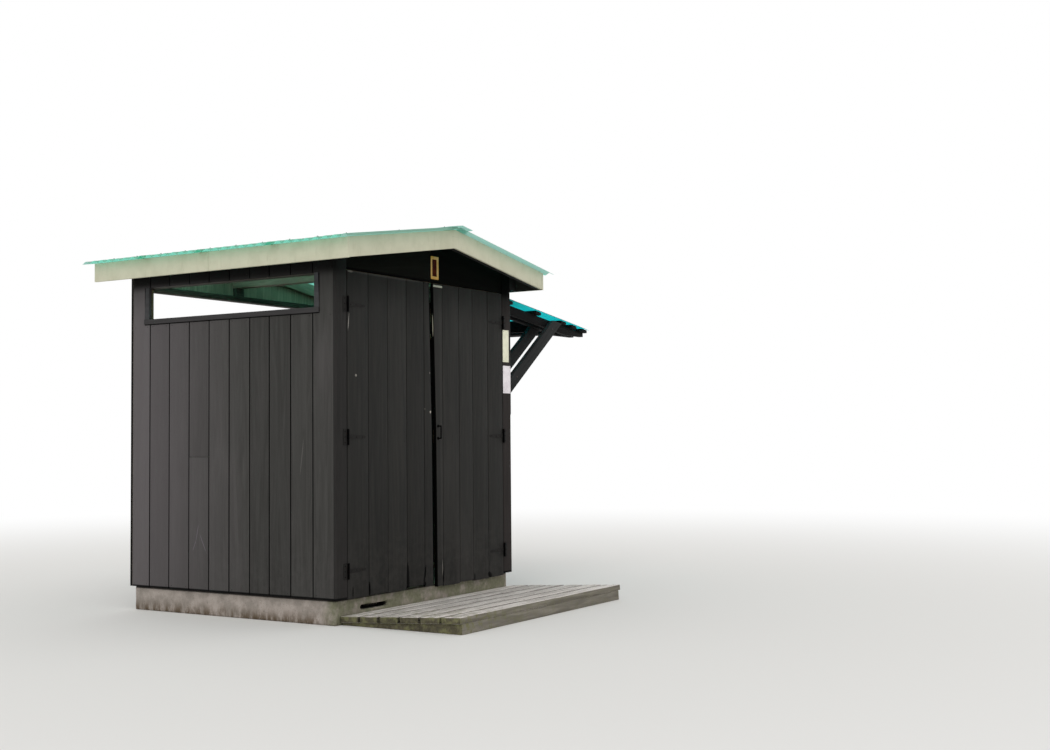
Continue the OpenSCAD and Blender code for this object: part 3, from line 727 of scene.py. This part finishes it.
def sheeted(run_start, run_end, y0, y1, turn, place, seed):
    """Lapped sheets over one slope, then given their thickness and laid on the slope."""
    form = bmesh.new()
    y0, y1 = y0 + side_play, y1 - side_play
    count = max(1, round((y1 - y0) / sheet_cover))
    waves = round((y1 - y0) / wave_size)
    pitch = (y1 - y0) / waves
    for i in range(count):
        first = round(waves * i / count)
        last = min(waves, round(waves * (i + 1) / count) + 1)
        lift = (i % 2) * sheet_thick
        corrugated(form, run_end - run_start, y0 + first * pitch, last - first, pitch, lift, seed)
    bmesh.ops.translate(form, vec=(run_start, 0, 0), verts=form.verts)
    bmesh.ops.recalc_face_normals(form, faces=form.faces)
    bmesh.ops.solidify(form, geom=form.faces[:], thickness=-sheet_thick)
    return laid(form, turn, place)


def sheet_screws(stations, y0, y1, turn, place):
    """Screws with washers on every third crest, along each purlin; a station is its way down the slope."""
    form = bmesh.new()
    waves = round((y1 - y0) / wave_size)
    pitch = (y1 - y0) / waves
    crest = wave_depth + 2 * sheet_thick
    spots = [(x, y0 + (n + 0.5) * pitch, crest) for x in stations for n in range(1, waves, 3)]
    heads(form, [(x, y, z - washer_sink) for x, y, z in spots], (0, 0, 1), **crest_washer)
    heads(form, spots, (0, 0, 1), rise=0.0052, **crest_screw)
    return laid(form, turn, place)


def slope_of(low, high, pitch, start, from_x):
    """How far the sheets of a slope run, and where they lie: both ends, the pitch and the top's place."""
    run = (high.x - low.x) / math.cos(pitch) - end_play
    top = high.z - (wave_depth + cad_sheet) * math.cos(pitch) + math.sin(pitch) * start
    return run, (low.y, high.y, pitch, (from_x, 0, top))


def mirrored(form):
    bmesh.ops.scale(form, vec=(-1, 1, 1), verts=form.verts)
    bmesh.ops.reverse_faces(form, faces=form.faces)
    return form


roof_paint, roof_grime = tint(146, 190, 172), tint(150, 182, 162)
roof_teal = sheet_finish("roof_sheets", roof_paint, tint(192, 248, 236), roof_grime, 0.76, verge=1.11)
screw_zinc = iron_finish("screw_zinc", tint(150, 152, 150), 0.5)
slope_start = 0.018
sheet_run, extent = slope_of(roof_low, roof_high, roof_pitch, slope_start, 0)
purlin_middles = [0.559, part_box("purlins")[1].x - 0.019]
for side, turned in [("right", False), ("left", True)]:
    form = sheeted(slope_start, slope_start + sheet_run, *extent, 3)
    sheet = shown(side + "_roof_sheet_corrugated", mirrored(form) if turned else form, roof_teal, crease=70)
    fitted(sheet, side + "_roof_sheet")
    form = sheet_screws([x / math.cos(roof_pitch) for x in purlin_middles], *extent)
    fixings(side + "_roof_screws", mirrored(form) if turned else form, screw_zinc)

cap = shown("ridge_cap_folded", eased_copy("ridge_cap", ease=0.0006), roof_teal)
fitted(cap, "ridge_cap")
cap_low, cap_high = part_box("ridge_cap")
upper_purlin = 0.089
cap_screws = bmesh.new()
cap_drop = math.tan(roof_pitch) * upper_purlin + 0.0012
cap_stations = [cap_low.y + 0.09 + 0.229 * i for i in range(10)]
for side in (-1, 1):
    spots = [(side * upper_purlin, y, cap_high.z - cap_drop) for y in cap_stations]
    heads(cap_screws, spots, (0, 0, 1), **crest_washer)
    heads(cap_screws, spots, (0, 0, 1), rise=0.0056, **crest_screw)
fixings("ridge_cap_screws", cap_screws, screw_zinc)


# Fascias: planed boards painted cream, closing the eaves and both gables; the eaves' boards are butted.
# The paint has chalked and run a little dirty under the sheets, and the inner faces are dark with painted
# shade.
def painted_finish(name, paint, dirt):
    finish = Finish(name, 0.6, 0.3)
    grain = finish.stored("grain", "Vector")
    spot = finish.place()
    cracks = finish.streaks(grain, (0.04, 1, 1), 0.005, detail=5)
    blotch = finish.speckle(spot, 0.12, detail=5)
    runs = finish.streaks(spot, (1, 1, 0.15), 0.02, detail=5)
    finish.colour = finish.blend(finish.between(blotch, 0.35, 0.75), paint, tint(198, 197, 172))
    finish.coat(finish.times(finish.between(runs, 0.55, 0.8), 0.3), dirt)
    finish.coat(finish.times(finish.between(cracks, 0.64, 0.76), 0.45), tint(136, 130, 108))
    return finish.done(blotch, 0.5, 0.75, finish.maths("SUBTRACT", 1.0, cracks), 0.0003)


cream = painted_finish("cream_fascias", tint(209, 207, 183), tint(170, 168, 138))
# Painted shade: the fascias' inner faces are dark.
fascia_back_shade = stained_finish("fascia_backs_painted_shade", tint(30, 28, 26), tint(40, 38, 35), tint(52, 49, 46))
for seed, (node, inward) in enumerate([("front_rake_fascia", (0, 1, 0)), ("back_rake_fascia", (0, -1, 0))]):
    form = room_side(eased_copy(node, ease=0.0025, seed=60 + seed), inward)
    fitted(shown(node + "_planed", form, cream, fascia_back_shade), node)

eave_low, eave_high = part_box("right_eave_fascia")
butt_gap = 0.0012
eave_joints = [eave_low.y - butt_gap / 2, -0.075, 0.041, eave_high.y + butt_gap / 2]
for side, node in [(1, "right_eave_fascia"), (-1, "left_eave_fascia")]:
    form = bmesh.new()
    for count, (a0, a1) in enumerate(zip(eave_joints, eave_joints[1:])):
        outline = oblong(a0 + butt_gap / 2, a1 - butt_gap / 2, eave_low.z, eave_high.z)
        plank(form, outline, (side * (eave_high.x - butt_step * (count % 2)), side * eave_low.x), "X")
    bmesh.ops.recalc_face_normals(form, faces=form.faces)
    lay_grain(form, 64 + side)
    fascia = shown(node + "_planed", room_side(form, (-side, 0, 0)), cream, fascia_back_shade)
    fitted(fascia, node)


# Awning: cleats on the right wall, paired rafters and braces lapped face to face, a beam and battens.
# The timbers are stained dark like the walls and bolted at the laps; the rafters, beam and battens under
# the sheet are near black with painted shade, and the sheet is a brighter blue-green.
brace_stain = stained_finish("stained_braces", tint(38, 38, 38), tint(48, 49, 49), tint(66, 66, 66))
# Painted shade: the rafters, beam and battens under the sheet are near black.
shaded_stain = stained_finish("stained_awning_painted_shade", tint(12, 12, 12), tint(20, 19, 19), tint(30, 28, 28))
for seed, (node, stain) in enumerate([
    ("awning_cleats", brace_stain),
    ("awning_braces", brace_stain),
    ("awning_rafters", shaded_stain),
    ("awning_beam", shaded_stain),
    ("awning_battens", shaded_stain),
]):
    timbers = shown(node + "_sawn", eased_copy(node, ease=0.003, seed=70 + seed), stain)
    fitted(timbers, node)

cleat_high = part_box("awning_cleats")[1]
brace_low, brace_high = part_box("awning_braces")
brace_rise = math.radians(36.6)
brace_width = 0.093
brace_middle = brace_width / 2 / math.cos(brace_rise)
bolt_head = {"radius": 0.009, "rise": 0.004, "sides": 12}
awning_bolts = bmesh.new()
for side in (-1, 1):
    outer_face = side * brace_high.y
    for out in (0.09, 0.62):
        height = brace_low.z + math.tan(brace_rise) * out + brace_middle
        heads(awning_bolts, [(brace_low.x + out, outer_face, height)], (0, side, 0), **bolt_head)
    for drop in (0.1, 0.24, 0.52, 0.7):
        spot = (cleat_high.x, side * (cleat_high.y - 0.1), cleat_high.z - drop)
        heads(awning_bolts, [spot], (1, 0, 0), **bolt_head)
fixings("awning_bolts", awning_bolts, iron_finish("bolt_iron", tint(40, 38, 36), 0.7))

awning_low, awning_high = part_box("awning_sheet")
awning_pitch = math.radians(7.4)
awning_start = 0.004
awning_paint, awning_grime = tint(80, 180, 178), tint(112, 172, 162)
awning_teal = sheet_finish("awning_sheets", awning_paint, tint(92, 234, 238), awning_grime, 0.82)
awning_run, extent = slope_of(awning_low, awning_high, awning_pitch, awning_start, -wall_low.x)
form = sheeted(awning_start, awning_start + awning_run, *extent, 5)
awning = shown("awning_sheet_corrugated", form, awning_teal, crease=70)
fitted(awning, "awning_sheet")
awning_battens = [0.04, 0.45, 0.84, 1.18]
form = sheet_screws([x / math.cos(awning_pitch) for x in awning_battens], *extent)
fixings("awning_screws", form, screw_zinc)


# Plates, all bare: a cream one above a white one, screwed to the right corner board,
# and over the place where the doors meet a dark red panel in an orange painted rim.
def plate_finish(name, paint, stain, shine=0.35):
    finish = Finish(name, 0.45, shine)
    spot = finish.place()
    blotch = finish.speckle(spot, 0.06, detail=5)
    fine = finish.streaks(spot, (1, 1, 0.3), 0.012, detail=5)
    finish.colour = finish.blend(finish.between(blotch, 0.4, 0.75), paint, stain)
    finish.coat(finish.times(finish.between(fine, 0.6, 0.8), 0.35), stain)
    return finish.done(blotch, 0.35, 0.6, blotch, 0.0003)


screw_inset = 0.01
plate_screws = bmesh.new()
for node, paint, stain in [
    ("cream_plate", tint(245, 243, 218), tint(228, 228, 202)),
    ("white_plate", tint(244, 237, 241), tint(226, 218, 223)),
]:
    plate = shown(node + "_bare", eased_copy(node, ease=0.001), plate_finish(node, paint, stain))
    fitted(plate, node)
    low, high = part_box(node)
    rows = (low.z + screw_inset, high.z - screw_inset)
    spots = [(x, low.y, z) for x in (low.x + screw_inset, high.x - screw_inset) for z in rows]
    heads(plate_screws, spots, (0, -1, 0), 0.0032, 0.0015)

panel_low, panel_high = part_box("gable_plate")
rim_paint = plate_finish("orange_rim", tint(186, 144, 68), tint(198, 176, 126), shine=0.1)
panel_paint = plate_finish("red_panel", tint(40, 10, 8), tint(72, 26, 12), shine=0.02)
edge_paint = plate_finish("dark_plate_edge", tint(14, 12, 11), tint(22, 19, 17), shine=0.02)
form = eased_copy("gable_plate", ease=0.0012, seed=78)
panel_edge = 0.0014
panel_sunk = 0.002


def plate_part(normal, middle):
    """The plate's own side faces are dark, its sunk middle is the panel, and the rest is the rim."""
    if not panel_low.x + panel_edge <= middle.x <= panel_high.x - panel_edge:
        return 2
    return normal.y < -0.9 and middle.y > panel_low.y + panel_sunk


panel = shown("gable_plate_bare", told_apart(form, plate_part), rim_paint, panel_paint, edge_paint)
fitted(panel, "gable_plate")
panel_middle = (panel_low.x + panel_high.x) / 2
rows = (panel_low.z + screw_inset, panel_high.z - screw_inset)
spots = [(panel_middle, panel_low.y, z) for z in rows]
heads(plate_screws, spots, (0, -1, 0), 0.0035, 0.0015)
fixings("plate_screws", plate_screws, screw_zinc)


# Platform: six weathered planks along the front, nailed to bearers and to a front board on the ground.
# Feet and rain have greyed and furrowed them; moss grows along the left end and the front board.
def weathered_finish(name, dark, pale, moss_share):
    finish = Finish(name, 0.9, 0.15)
    grain = finish.stored("grain", "Vector")
    spot = finish.place()
    furrows = finish.streaks(grain, (0.03, 1, 1), 0.005, detail=6, rough=0.65)
    figure = finish.streaks(grain, (0.08, 1, 1), 0.04, detail=4, twist=1.0)
    finish.colour = finish.blend(finish.between(figure, 0.3, 0.7), dark, pale)
    finish.coat(finish.times(finish.between(furrows, 0.48, 0.7), 0.9), tint(98, 92, 84))
    left_end = finish.ramp("X", -0.1, -0.9)
    patches = finish.between(finish.speckle(spot, 0.05, detail=6), 0.45, 0.65)
    cover = finish.times(finish.maths("ADD", left_end, moss_share), patches)
    greens = finish.blend(finish.speckle(spot, 0.012), tint(84, 84, 58), tint(124, 122, 90))
    finish.coat(finish.times(cover, 0.7), greens)
    finish.toned(0.3)
    height = finish.maths("SUBTRACT", finish.times(figure, 0.4), furrows)
    return finish.done(furrows, 0.8, 1.0, height, 0.0014)


deck_low, deck_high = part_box("deck_planks")


def platform_side(normal, middle):
    """Moss grows on the end grain at the left, soil fills the joints and the front edge stays damp."""
    if abs(normal.y) > 0.7:
        return 3 if middle.y < deck_low.y + 0.01 else 2
    return normal.x < -0.7


deck_wood = weathered_finish("platform_planks", tint(172, 166, 160), tint(224, 218, 213), 0.0)
mossy_wood = weathered_finish("platform_ends", tint(60, 56, 44), tint(92, 88, 68), 0.7)
joint_dirt = weathered_finish("platform_joints", tint(30, 27, 22), tint(48, 43, 36), 0.0)
damp_edge = weathered_finish("platform_edge", tint(98, 94, 85), tint(130, 125, 114), 0.4)
form = told_apart(eased_copy("deck_planks", ease=0.005, seed=81), platform_side)
planks = shown("platform_planks", form, deck_wood, mossy_wood, joint_dirt, damp_edge)
fitted(planks, "deck_planks")
bearer_wood = weathered_finish("platform_bearers", tint(100, 96, 88), tint(130, 125, 115), 0.4)
form = eased_copy("deck_bearers", ease=0.004, seed=82)
told_apart(form, lambda normal, middle: normal.x < -0.7)
fitted(shown("platform_bearers", form, bearer_wood, mossy_wood), "deck_bearers")

deck_lean = math.tan(math.radians(3.1))
deck_cover = 0.154
nail_rows = (deck_low.x + 0.05, (deck_low.x + deck_high.x) / 2, deck_high.x - 0.05)
deck_nails = bmesh.new()
for count in range(6):
    for along in (0.045, 0.109):
        y = deck_high.y - deck_cover * count - along
        z = deck_high.z - deck_lean * (y - deck_low.y) - 0.001
        heads(deck_nails, [(x, y, z) for x in nail_rows], (0, 0, 1), 0.0045, 0.0018)
fixings("platform_nails", deck_nails, iron_finish("deck_nails", tint(74, 62, 54), 0.9))


# Doors: five upright planks each, nailed to three battens inside, stained with the front of the building.
# Their feet are worn and split where rain splashes up from the platform; a few knocks have bared the wood.
# Painted shade darkens them toward the top, fills the splits and the gap where they meet; a painted
# highlight lines the left door's top edge, and painted light shows through the gap near the top.
left_low, left_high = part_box("left_door_boards")
right_low, right_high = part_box("right_door_boards")
door_face, door_back = left_low.y, left_high.y
door_channel = 0.006
curb_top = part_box("foundation_curb")[1].z
meeting_bend_z = curb_top + 1.035
meeting_bend = 0.00925
meeting_lean = 0.0368
left_meeting = left_high.x
right_meeting = right_low.x + meeting_lean
left_door_joints = [left_low.x, -0.688, -0.486, -0.279, -0.081, left_meeting]
right_door_joints = [right_meeting, 0.136, 0.337, 0.507, 0.705, right_high.x]
arris = 0.006


def leaning(x, z):
    """A door's joint at a height: those where the doors meet lean left, more above the pull than below."""
    if min(abs(x - left_meeting), abs(x - right_meeting)) > arris + 0.001:
        return x
    if z < meeting_bend_z:
        return x - meeting_bend * max(0.0, z - curb_top) / (meeting_bend_z - curb_top)
    rise = (z - meeting_bend_z) / (left_high.z - meeting_bend_z)
    return x - meeting_bend - (meeting_lean - meeting_bend) * rise


def upright(a0, a1, low, top):
    """A plank's outline between two joints, from the foot up."""
    right_side = [(leaning(a1, z), z) for z in (meeting_bend_z, top)]
    left_side = [(leaning(a0, z), z) for z in (top, meeting_bend_z)]
    return [(a0, low), (a1, low)] + right_side + left_side


def ragged_foot(draw, a0, a1, low, splits):
    """Points along a plank's worn foot, from one edge to the other, with its splits run up the grain."""
    points = [(a0, low + draw.uniform(0, 0.004))]
    steps = 7
    for i in range(1, steps):
        points.append((a0 + (a1 - a0) * i / steps, low + draw.uniform(0, 0.003)))
    points.append((a1, low + draw.uniform(0, 0.004)))
    for place, width, height in splits:
        half = width / 2
        points = [p for p in points if abs(p[0] - place) > width]
        points += [(place - half, low + 0.001), (place, low + height), (place + half, low + 0.002)]
    return sorted(points)


def door_boards(joints, lows, top, seed, splits):
    draw = random.Random(seed)
    form = bmesh.new()
    tongues = bmesh.new()
    arrises = bmesh.new()
    for count, (a0, a1) in enumerate(zip(joints, joints[1:])):
        b0 = a0 + (door_channel / 2 if count else 0)
        b1 = a1 - (door_channel / 2 if a1 != joints[-1] else 0)
        face = door_face + draw.uniform(0, 0.0015)
        # Painted shade: a narrow strip at each meeting edge takes the near black of the gap between the
        # doors.
        if a1 == left_meeting:
            b1 = a1 - arris
            plank(arrises, upright(b1, a1, lows[count], top), (face + 0.001, door_back), "Y")
        if a0 == right_meeting:
            b0 = a0 + arris
            plank(arrises, upright(a0, b0, lows[count], top), (face + 0.001, door_back), "Y")
        mine = [split for split in splits if b0 + 0.004 < split[0] < b1 - 0.004]
        foot = ragged_foot(draw, b0, b1, lows[count], mine)
        plank(form, foot + upright(b0, b1, lows[count], top)[2:], (face, door_back), "Y")
        if a1 != joints[-1]:
            low = max(lows[count], lows[count + 1]) + 0.012
            plank(tongues, oblong(a1 - 0.005, a1 + 0.005, low, top), (door_face + 0.01, door_back), "Y")
    for boards in (form, tongues, arrises):
        bmesh.ops.recalc_face_normals(boards, faces=boards.faces)
        lay_grain(boards, seed)
        room_side(boards, (0, 1, 0))
    return form, tongues, arrises


left_splits = [(-0.680, 0.005, 0.05), (-0.287, 0.007, 0.15), (-0.085, 0.005, 0.12)]
right_splits = [(0.126, 0.004, 0.11), (0.520, 0.004, 0.02), (0.715, 0.004, 0.02)]
left_feet = [curb_top + drop for drop in (-0.008, -0.004, -0.009, 0.004, -0.009)]
right_feet = [curb_top + drop for drop in (-0.022, -0.026, -0.018, -0.024, -0.020)]
bared = tint(176, 170, 160)
# Painted shade: the splits at the doors' feet are black inside.
split_shade = tint(4, 4, 4)
door_knocks = [
    ((x, door_face, z), (wide, deep, tall), (0, lean, 0), paint)
    for x, z, wide, deep, tall, lean, paint in [
        (-0.270, 0.235, 0.013, 0.03, 0.11, -0.06, split_shade),
        (-0.084, 0.235, 0.011, 0.03, 0.075, 0.2, split_shade),
        (0.134, 0.230, 0.009, 0.03, 0.1, 0, split_shade),
        (0.124, 0.262, 0.004, 0.03, 0.06, 0, tint(120, 116, 110)),
        (-0.268, 0.170, 0.018, 0.03, 0.022, 0, split_shade),
        (-0.086, 0.172, 0.017, 0.03, 0.022, 0, split_shade),
        (-0.680, 0.200, 0.008, 0.03, 0.05, 0, split_shade),
        (0.520, 0.166, 0.008, 0.03, 0.03, 0, split_shade),
        (0.715, 0.166, 0.03, 0.03, 0.02, 0.5, split_shade),
        (-0.850, 0.195, 0.006, 0.03, 0.04, 0, split_shade),
        (-0.011, 1.338, 0.007, 0.01, 0.010, 0, bared),
        (-0.074, 1.358, 0.005, 0.01, 0.005, 0, tint(90, 86, 82)),
        (-0.017, 1.605, 0.004, 0.01, 0.008, 0, tint(110, 106, 102)),
        (-0.815, 1.562, 0.010, 0.01, 0.009, 0, tint(128, 124, 118)),
        (-0.887, 1.899, 0.0035, 0.01, 0.055, 0.1, tint(138, 134, 129)),
        # Painted highlight: a pale line along the left door's top edge, brightest at its left end.
        (-0.48, 2.220, 0.4, 0.03, 0.007, 0, tint(54, 52, 50)),
        (-0.868, 2.220, 0.03, 0.03, 0.007, 0, tint(92, 88, 84)),
    ]
]
# Painted light: a pale sliver on the doors' meeting edge near the top, where light shows through the gap.
gap_light = [((0.031, -0.907, 1.93), (0.02, 0.004, 0.08), (0, 0, 0), tint(170, 162, 146))]
door_tints = (tint(39, 39, 38), tint(48, 47, 45), tint(64, 62, 60))
# Painted shade: the doors darken toward their tops, under the eaves.
door_stain = stained_finish("stained_doors", *door_tints, door_knocks, splashed=0.5, deep=0.62)
# Painted shade for the strips along the doors' meeting edges.
gap_shade_tints = (tint(3, 3, 3), tint(7, 7, 6), tint(12, 12, 11))
gap_shade_stain = stained_finish("door_edges_painted_shade", *gap_shade_tints, gap_light, shine=0.01)
door_tongue_tints = (tint(20, 20, 19), tint(28, 27, 26), tint(34, 32, 31))
door_tongue_stain = stained_finish("stained_door_tongues", *door_tongue_tints)
for side, joints, feet, high, seed, splits in [
    ("left", left_door_joints, left_feet, left_high, 91, left_splits),
    ("right", right_door_joints, right_feet, right_high, 92, right_splits),
]:
    form, tongues, arrises = door_boards(joints, feet, high.z, seed, splits)
    planks = shown(side + "_door_planks", form, door_stain, raw_boards)
    tongues = shown(side + "_door_tongues", tongues, door_tongue_stain, raw_boards)
    arrises = shown(side + "_door_arris", arrises, gap_shade_stain, raw_boards)
    fitted(planks, side + "_door_boards", body=side + "_door")
    fitted(tongues, body=side + "_door")
    fitted(arrises, body=side + "_door")

batten_wood = timber_finish("door_battens", tint(112, 94, 72), tint(148, 128, 100))
hinge_heights = [0.333, 1.1715, 2.010]
for side, joints in [("left", left_door_joints), ("right", right_door_joints)]:
    form = eased_copy(side + "_door_battens", ease=0.003, seed=95)
    battens = shown(side + "_battens_sawn", form, batten_wood)
    fitted(battens, side + "_door_battens", body=side + "_door")
    form = bmesh.new()
    rows = [z + lift for z in hinge_heights for lift in (-0.03, 0.03)]
    for z in rows:
        spots = nail_places([leaning(x, z) for x in joints], [z])
        heads(form, [(x, door_face + nail_sink, z) for x, z in spots], (0, -1, 0), **nail_head)
    fixings(side + "_door_nails", form, nail_steel, side + "_door", crease=60)


# Hinges, pull and head strip: black iron hinges bolted over the stain, a bar pull, a strip of raw wood.
# The straps were brushed over with the doors' stain; knuckles and pins stayed bare and black.
black_iron = iron_finish("black_iron", tint(5, 5, 6), 0.08, shine=0.015)
strap_paint = iron_finish("painted_straps", tint(35, 34, 33), 0.1, shine=0.08)
pin_x = 0.902
knuckle_reach = 0.0078
for node, body in [
    ("hinge_wall_leaves", "building"),
    ("left_strap_hinges", "left_door"),
    ("right_strap_hinges", "right_door"),
]:
    form = told_apart(merged_copy(node), lambda normal, middle: abs(abs(middle.x) - pin_x) >= knuckle_reach)
    fitted(shown(node + "_painted", form, black_iron, strap_paint), node, body)
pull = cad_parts["pull_handle"]
pull.data.materials.clear()
pull.data.materials.append(black_iron)

strap_y = door_face - 0.003
leaf_screws = bmesh.new()
for side, name in [(-1, "left"), (1, "right")]:
    form = bmesh.new()
    strap = [(side * (pin_x - out), strap_y, z) for out in (0.035, 0.09, 0.15) for z in hinge_heights]
    heads(form, strap, (0, -1, 0), 0.0055, 0.003, sides=12)
    fixings(name + "_strap_bolts", form, strap_paint, name + "_door")
    leaf = [(side * (pin_x + 0.026), strap_y, z + up) for z in hinge_heights for up in (-0.035, 0, 0.035)]
    heads(leaf_screws, leaf, (0, -1, 0), 0.0038, 0.0014)
fixings("hinge_leaf_screws", leaf_screws, black_iron)

raw_strip = timber_finish("raw_strip", tint(128, 130, 118), tint(164, 166, 152))
strip = shown("head_strip_sawn", eased_copy("head_strip", ease=0.001, seed=97), raw_strip)
fitted(strip, "head_strip", "right_door")


# Floor and light: a plain pale floor that fades to white, and soft light, a little stronger from the left.
def looked_at(tree):
    """1 where the camera sees a thing, also by a mirror or through glass; 0 where it lights others."""
    rays = tree.step("ShaderNodeLightPath", {}).outputs
    seen = tree.maths("MAXIMUM", rays["Is Camera Ray"], rays["Is Glossy Ray"])
    return tree.maths("MAXIMUM", seen, rays["Is Transmission Ray"])


floor_form = bmesh.new()
bmesh.ops.create_circle(floor_form, cap_ends=True, segments=96, radius=70)
pale = Finish("pale_floor", 0.9, 0.1)
pale.shader.inputs["Base Color"].default_value = tint(226, 225, 222)
distance = pale.step("ShaderNodeVectorMath", {0: pale.place()}, operation="LENGTH").outputs["Value"]
fade = pale.between(distance, 3.5, 13.0)
white = pale.step("ShaderNodeEmission", {"Color": (1, 1, 1, 1), "Strength": 1.0}).outputs[0]
shares = {0: pale.times(fade, looked_at(pale)), 1: pale.shader.outputs[0], 2: white}
mixed = pale.step("ShaderNodeMixShader", shares).outputs[0]
pale.tree.links.new(mixed, pale.tree.nodes["Material Output"].inputs["Surface"])
shown("floor", floor_form, pale.material)

world = bpy.data.worlds.new("soft_sky")
bpy.context.scene.world = world
world.use_nodes = True
sky = Steps(world.node_tree)
sky_light = 0.85
backdrop = sky.tree.nodes["Background"].inputs
backdrop["Color"].default_value = (1, 1, 1, 1)
strength = sky.step("ShaderNodeMapRange", {"Value": looked_at(sky), "To Min": sky_light, "To Max": 1.0})
sky.tree.links.new(strength.outputs[0], backdrop["Strength"])

lamp = bpy.data.objects.new("left_light", bpy.data.lights.new("left_light", "SUN"))
lamp.data.energy = 0.6
lamp.data.angle = math.radians(40)
lamp.rotation_mode = "QUATERNION"
lamp.rotation_quaternion = Vector((0.6, 0.35, -0.72)).to_track_quat("-Z", "Y")
bpy.context.scene.collection.objects.link(lamp)
bpy.context.scene.view_settings.view_transform = "Standard"
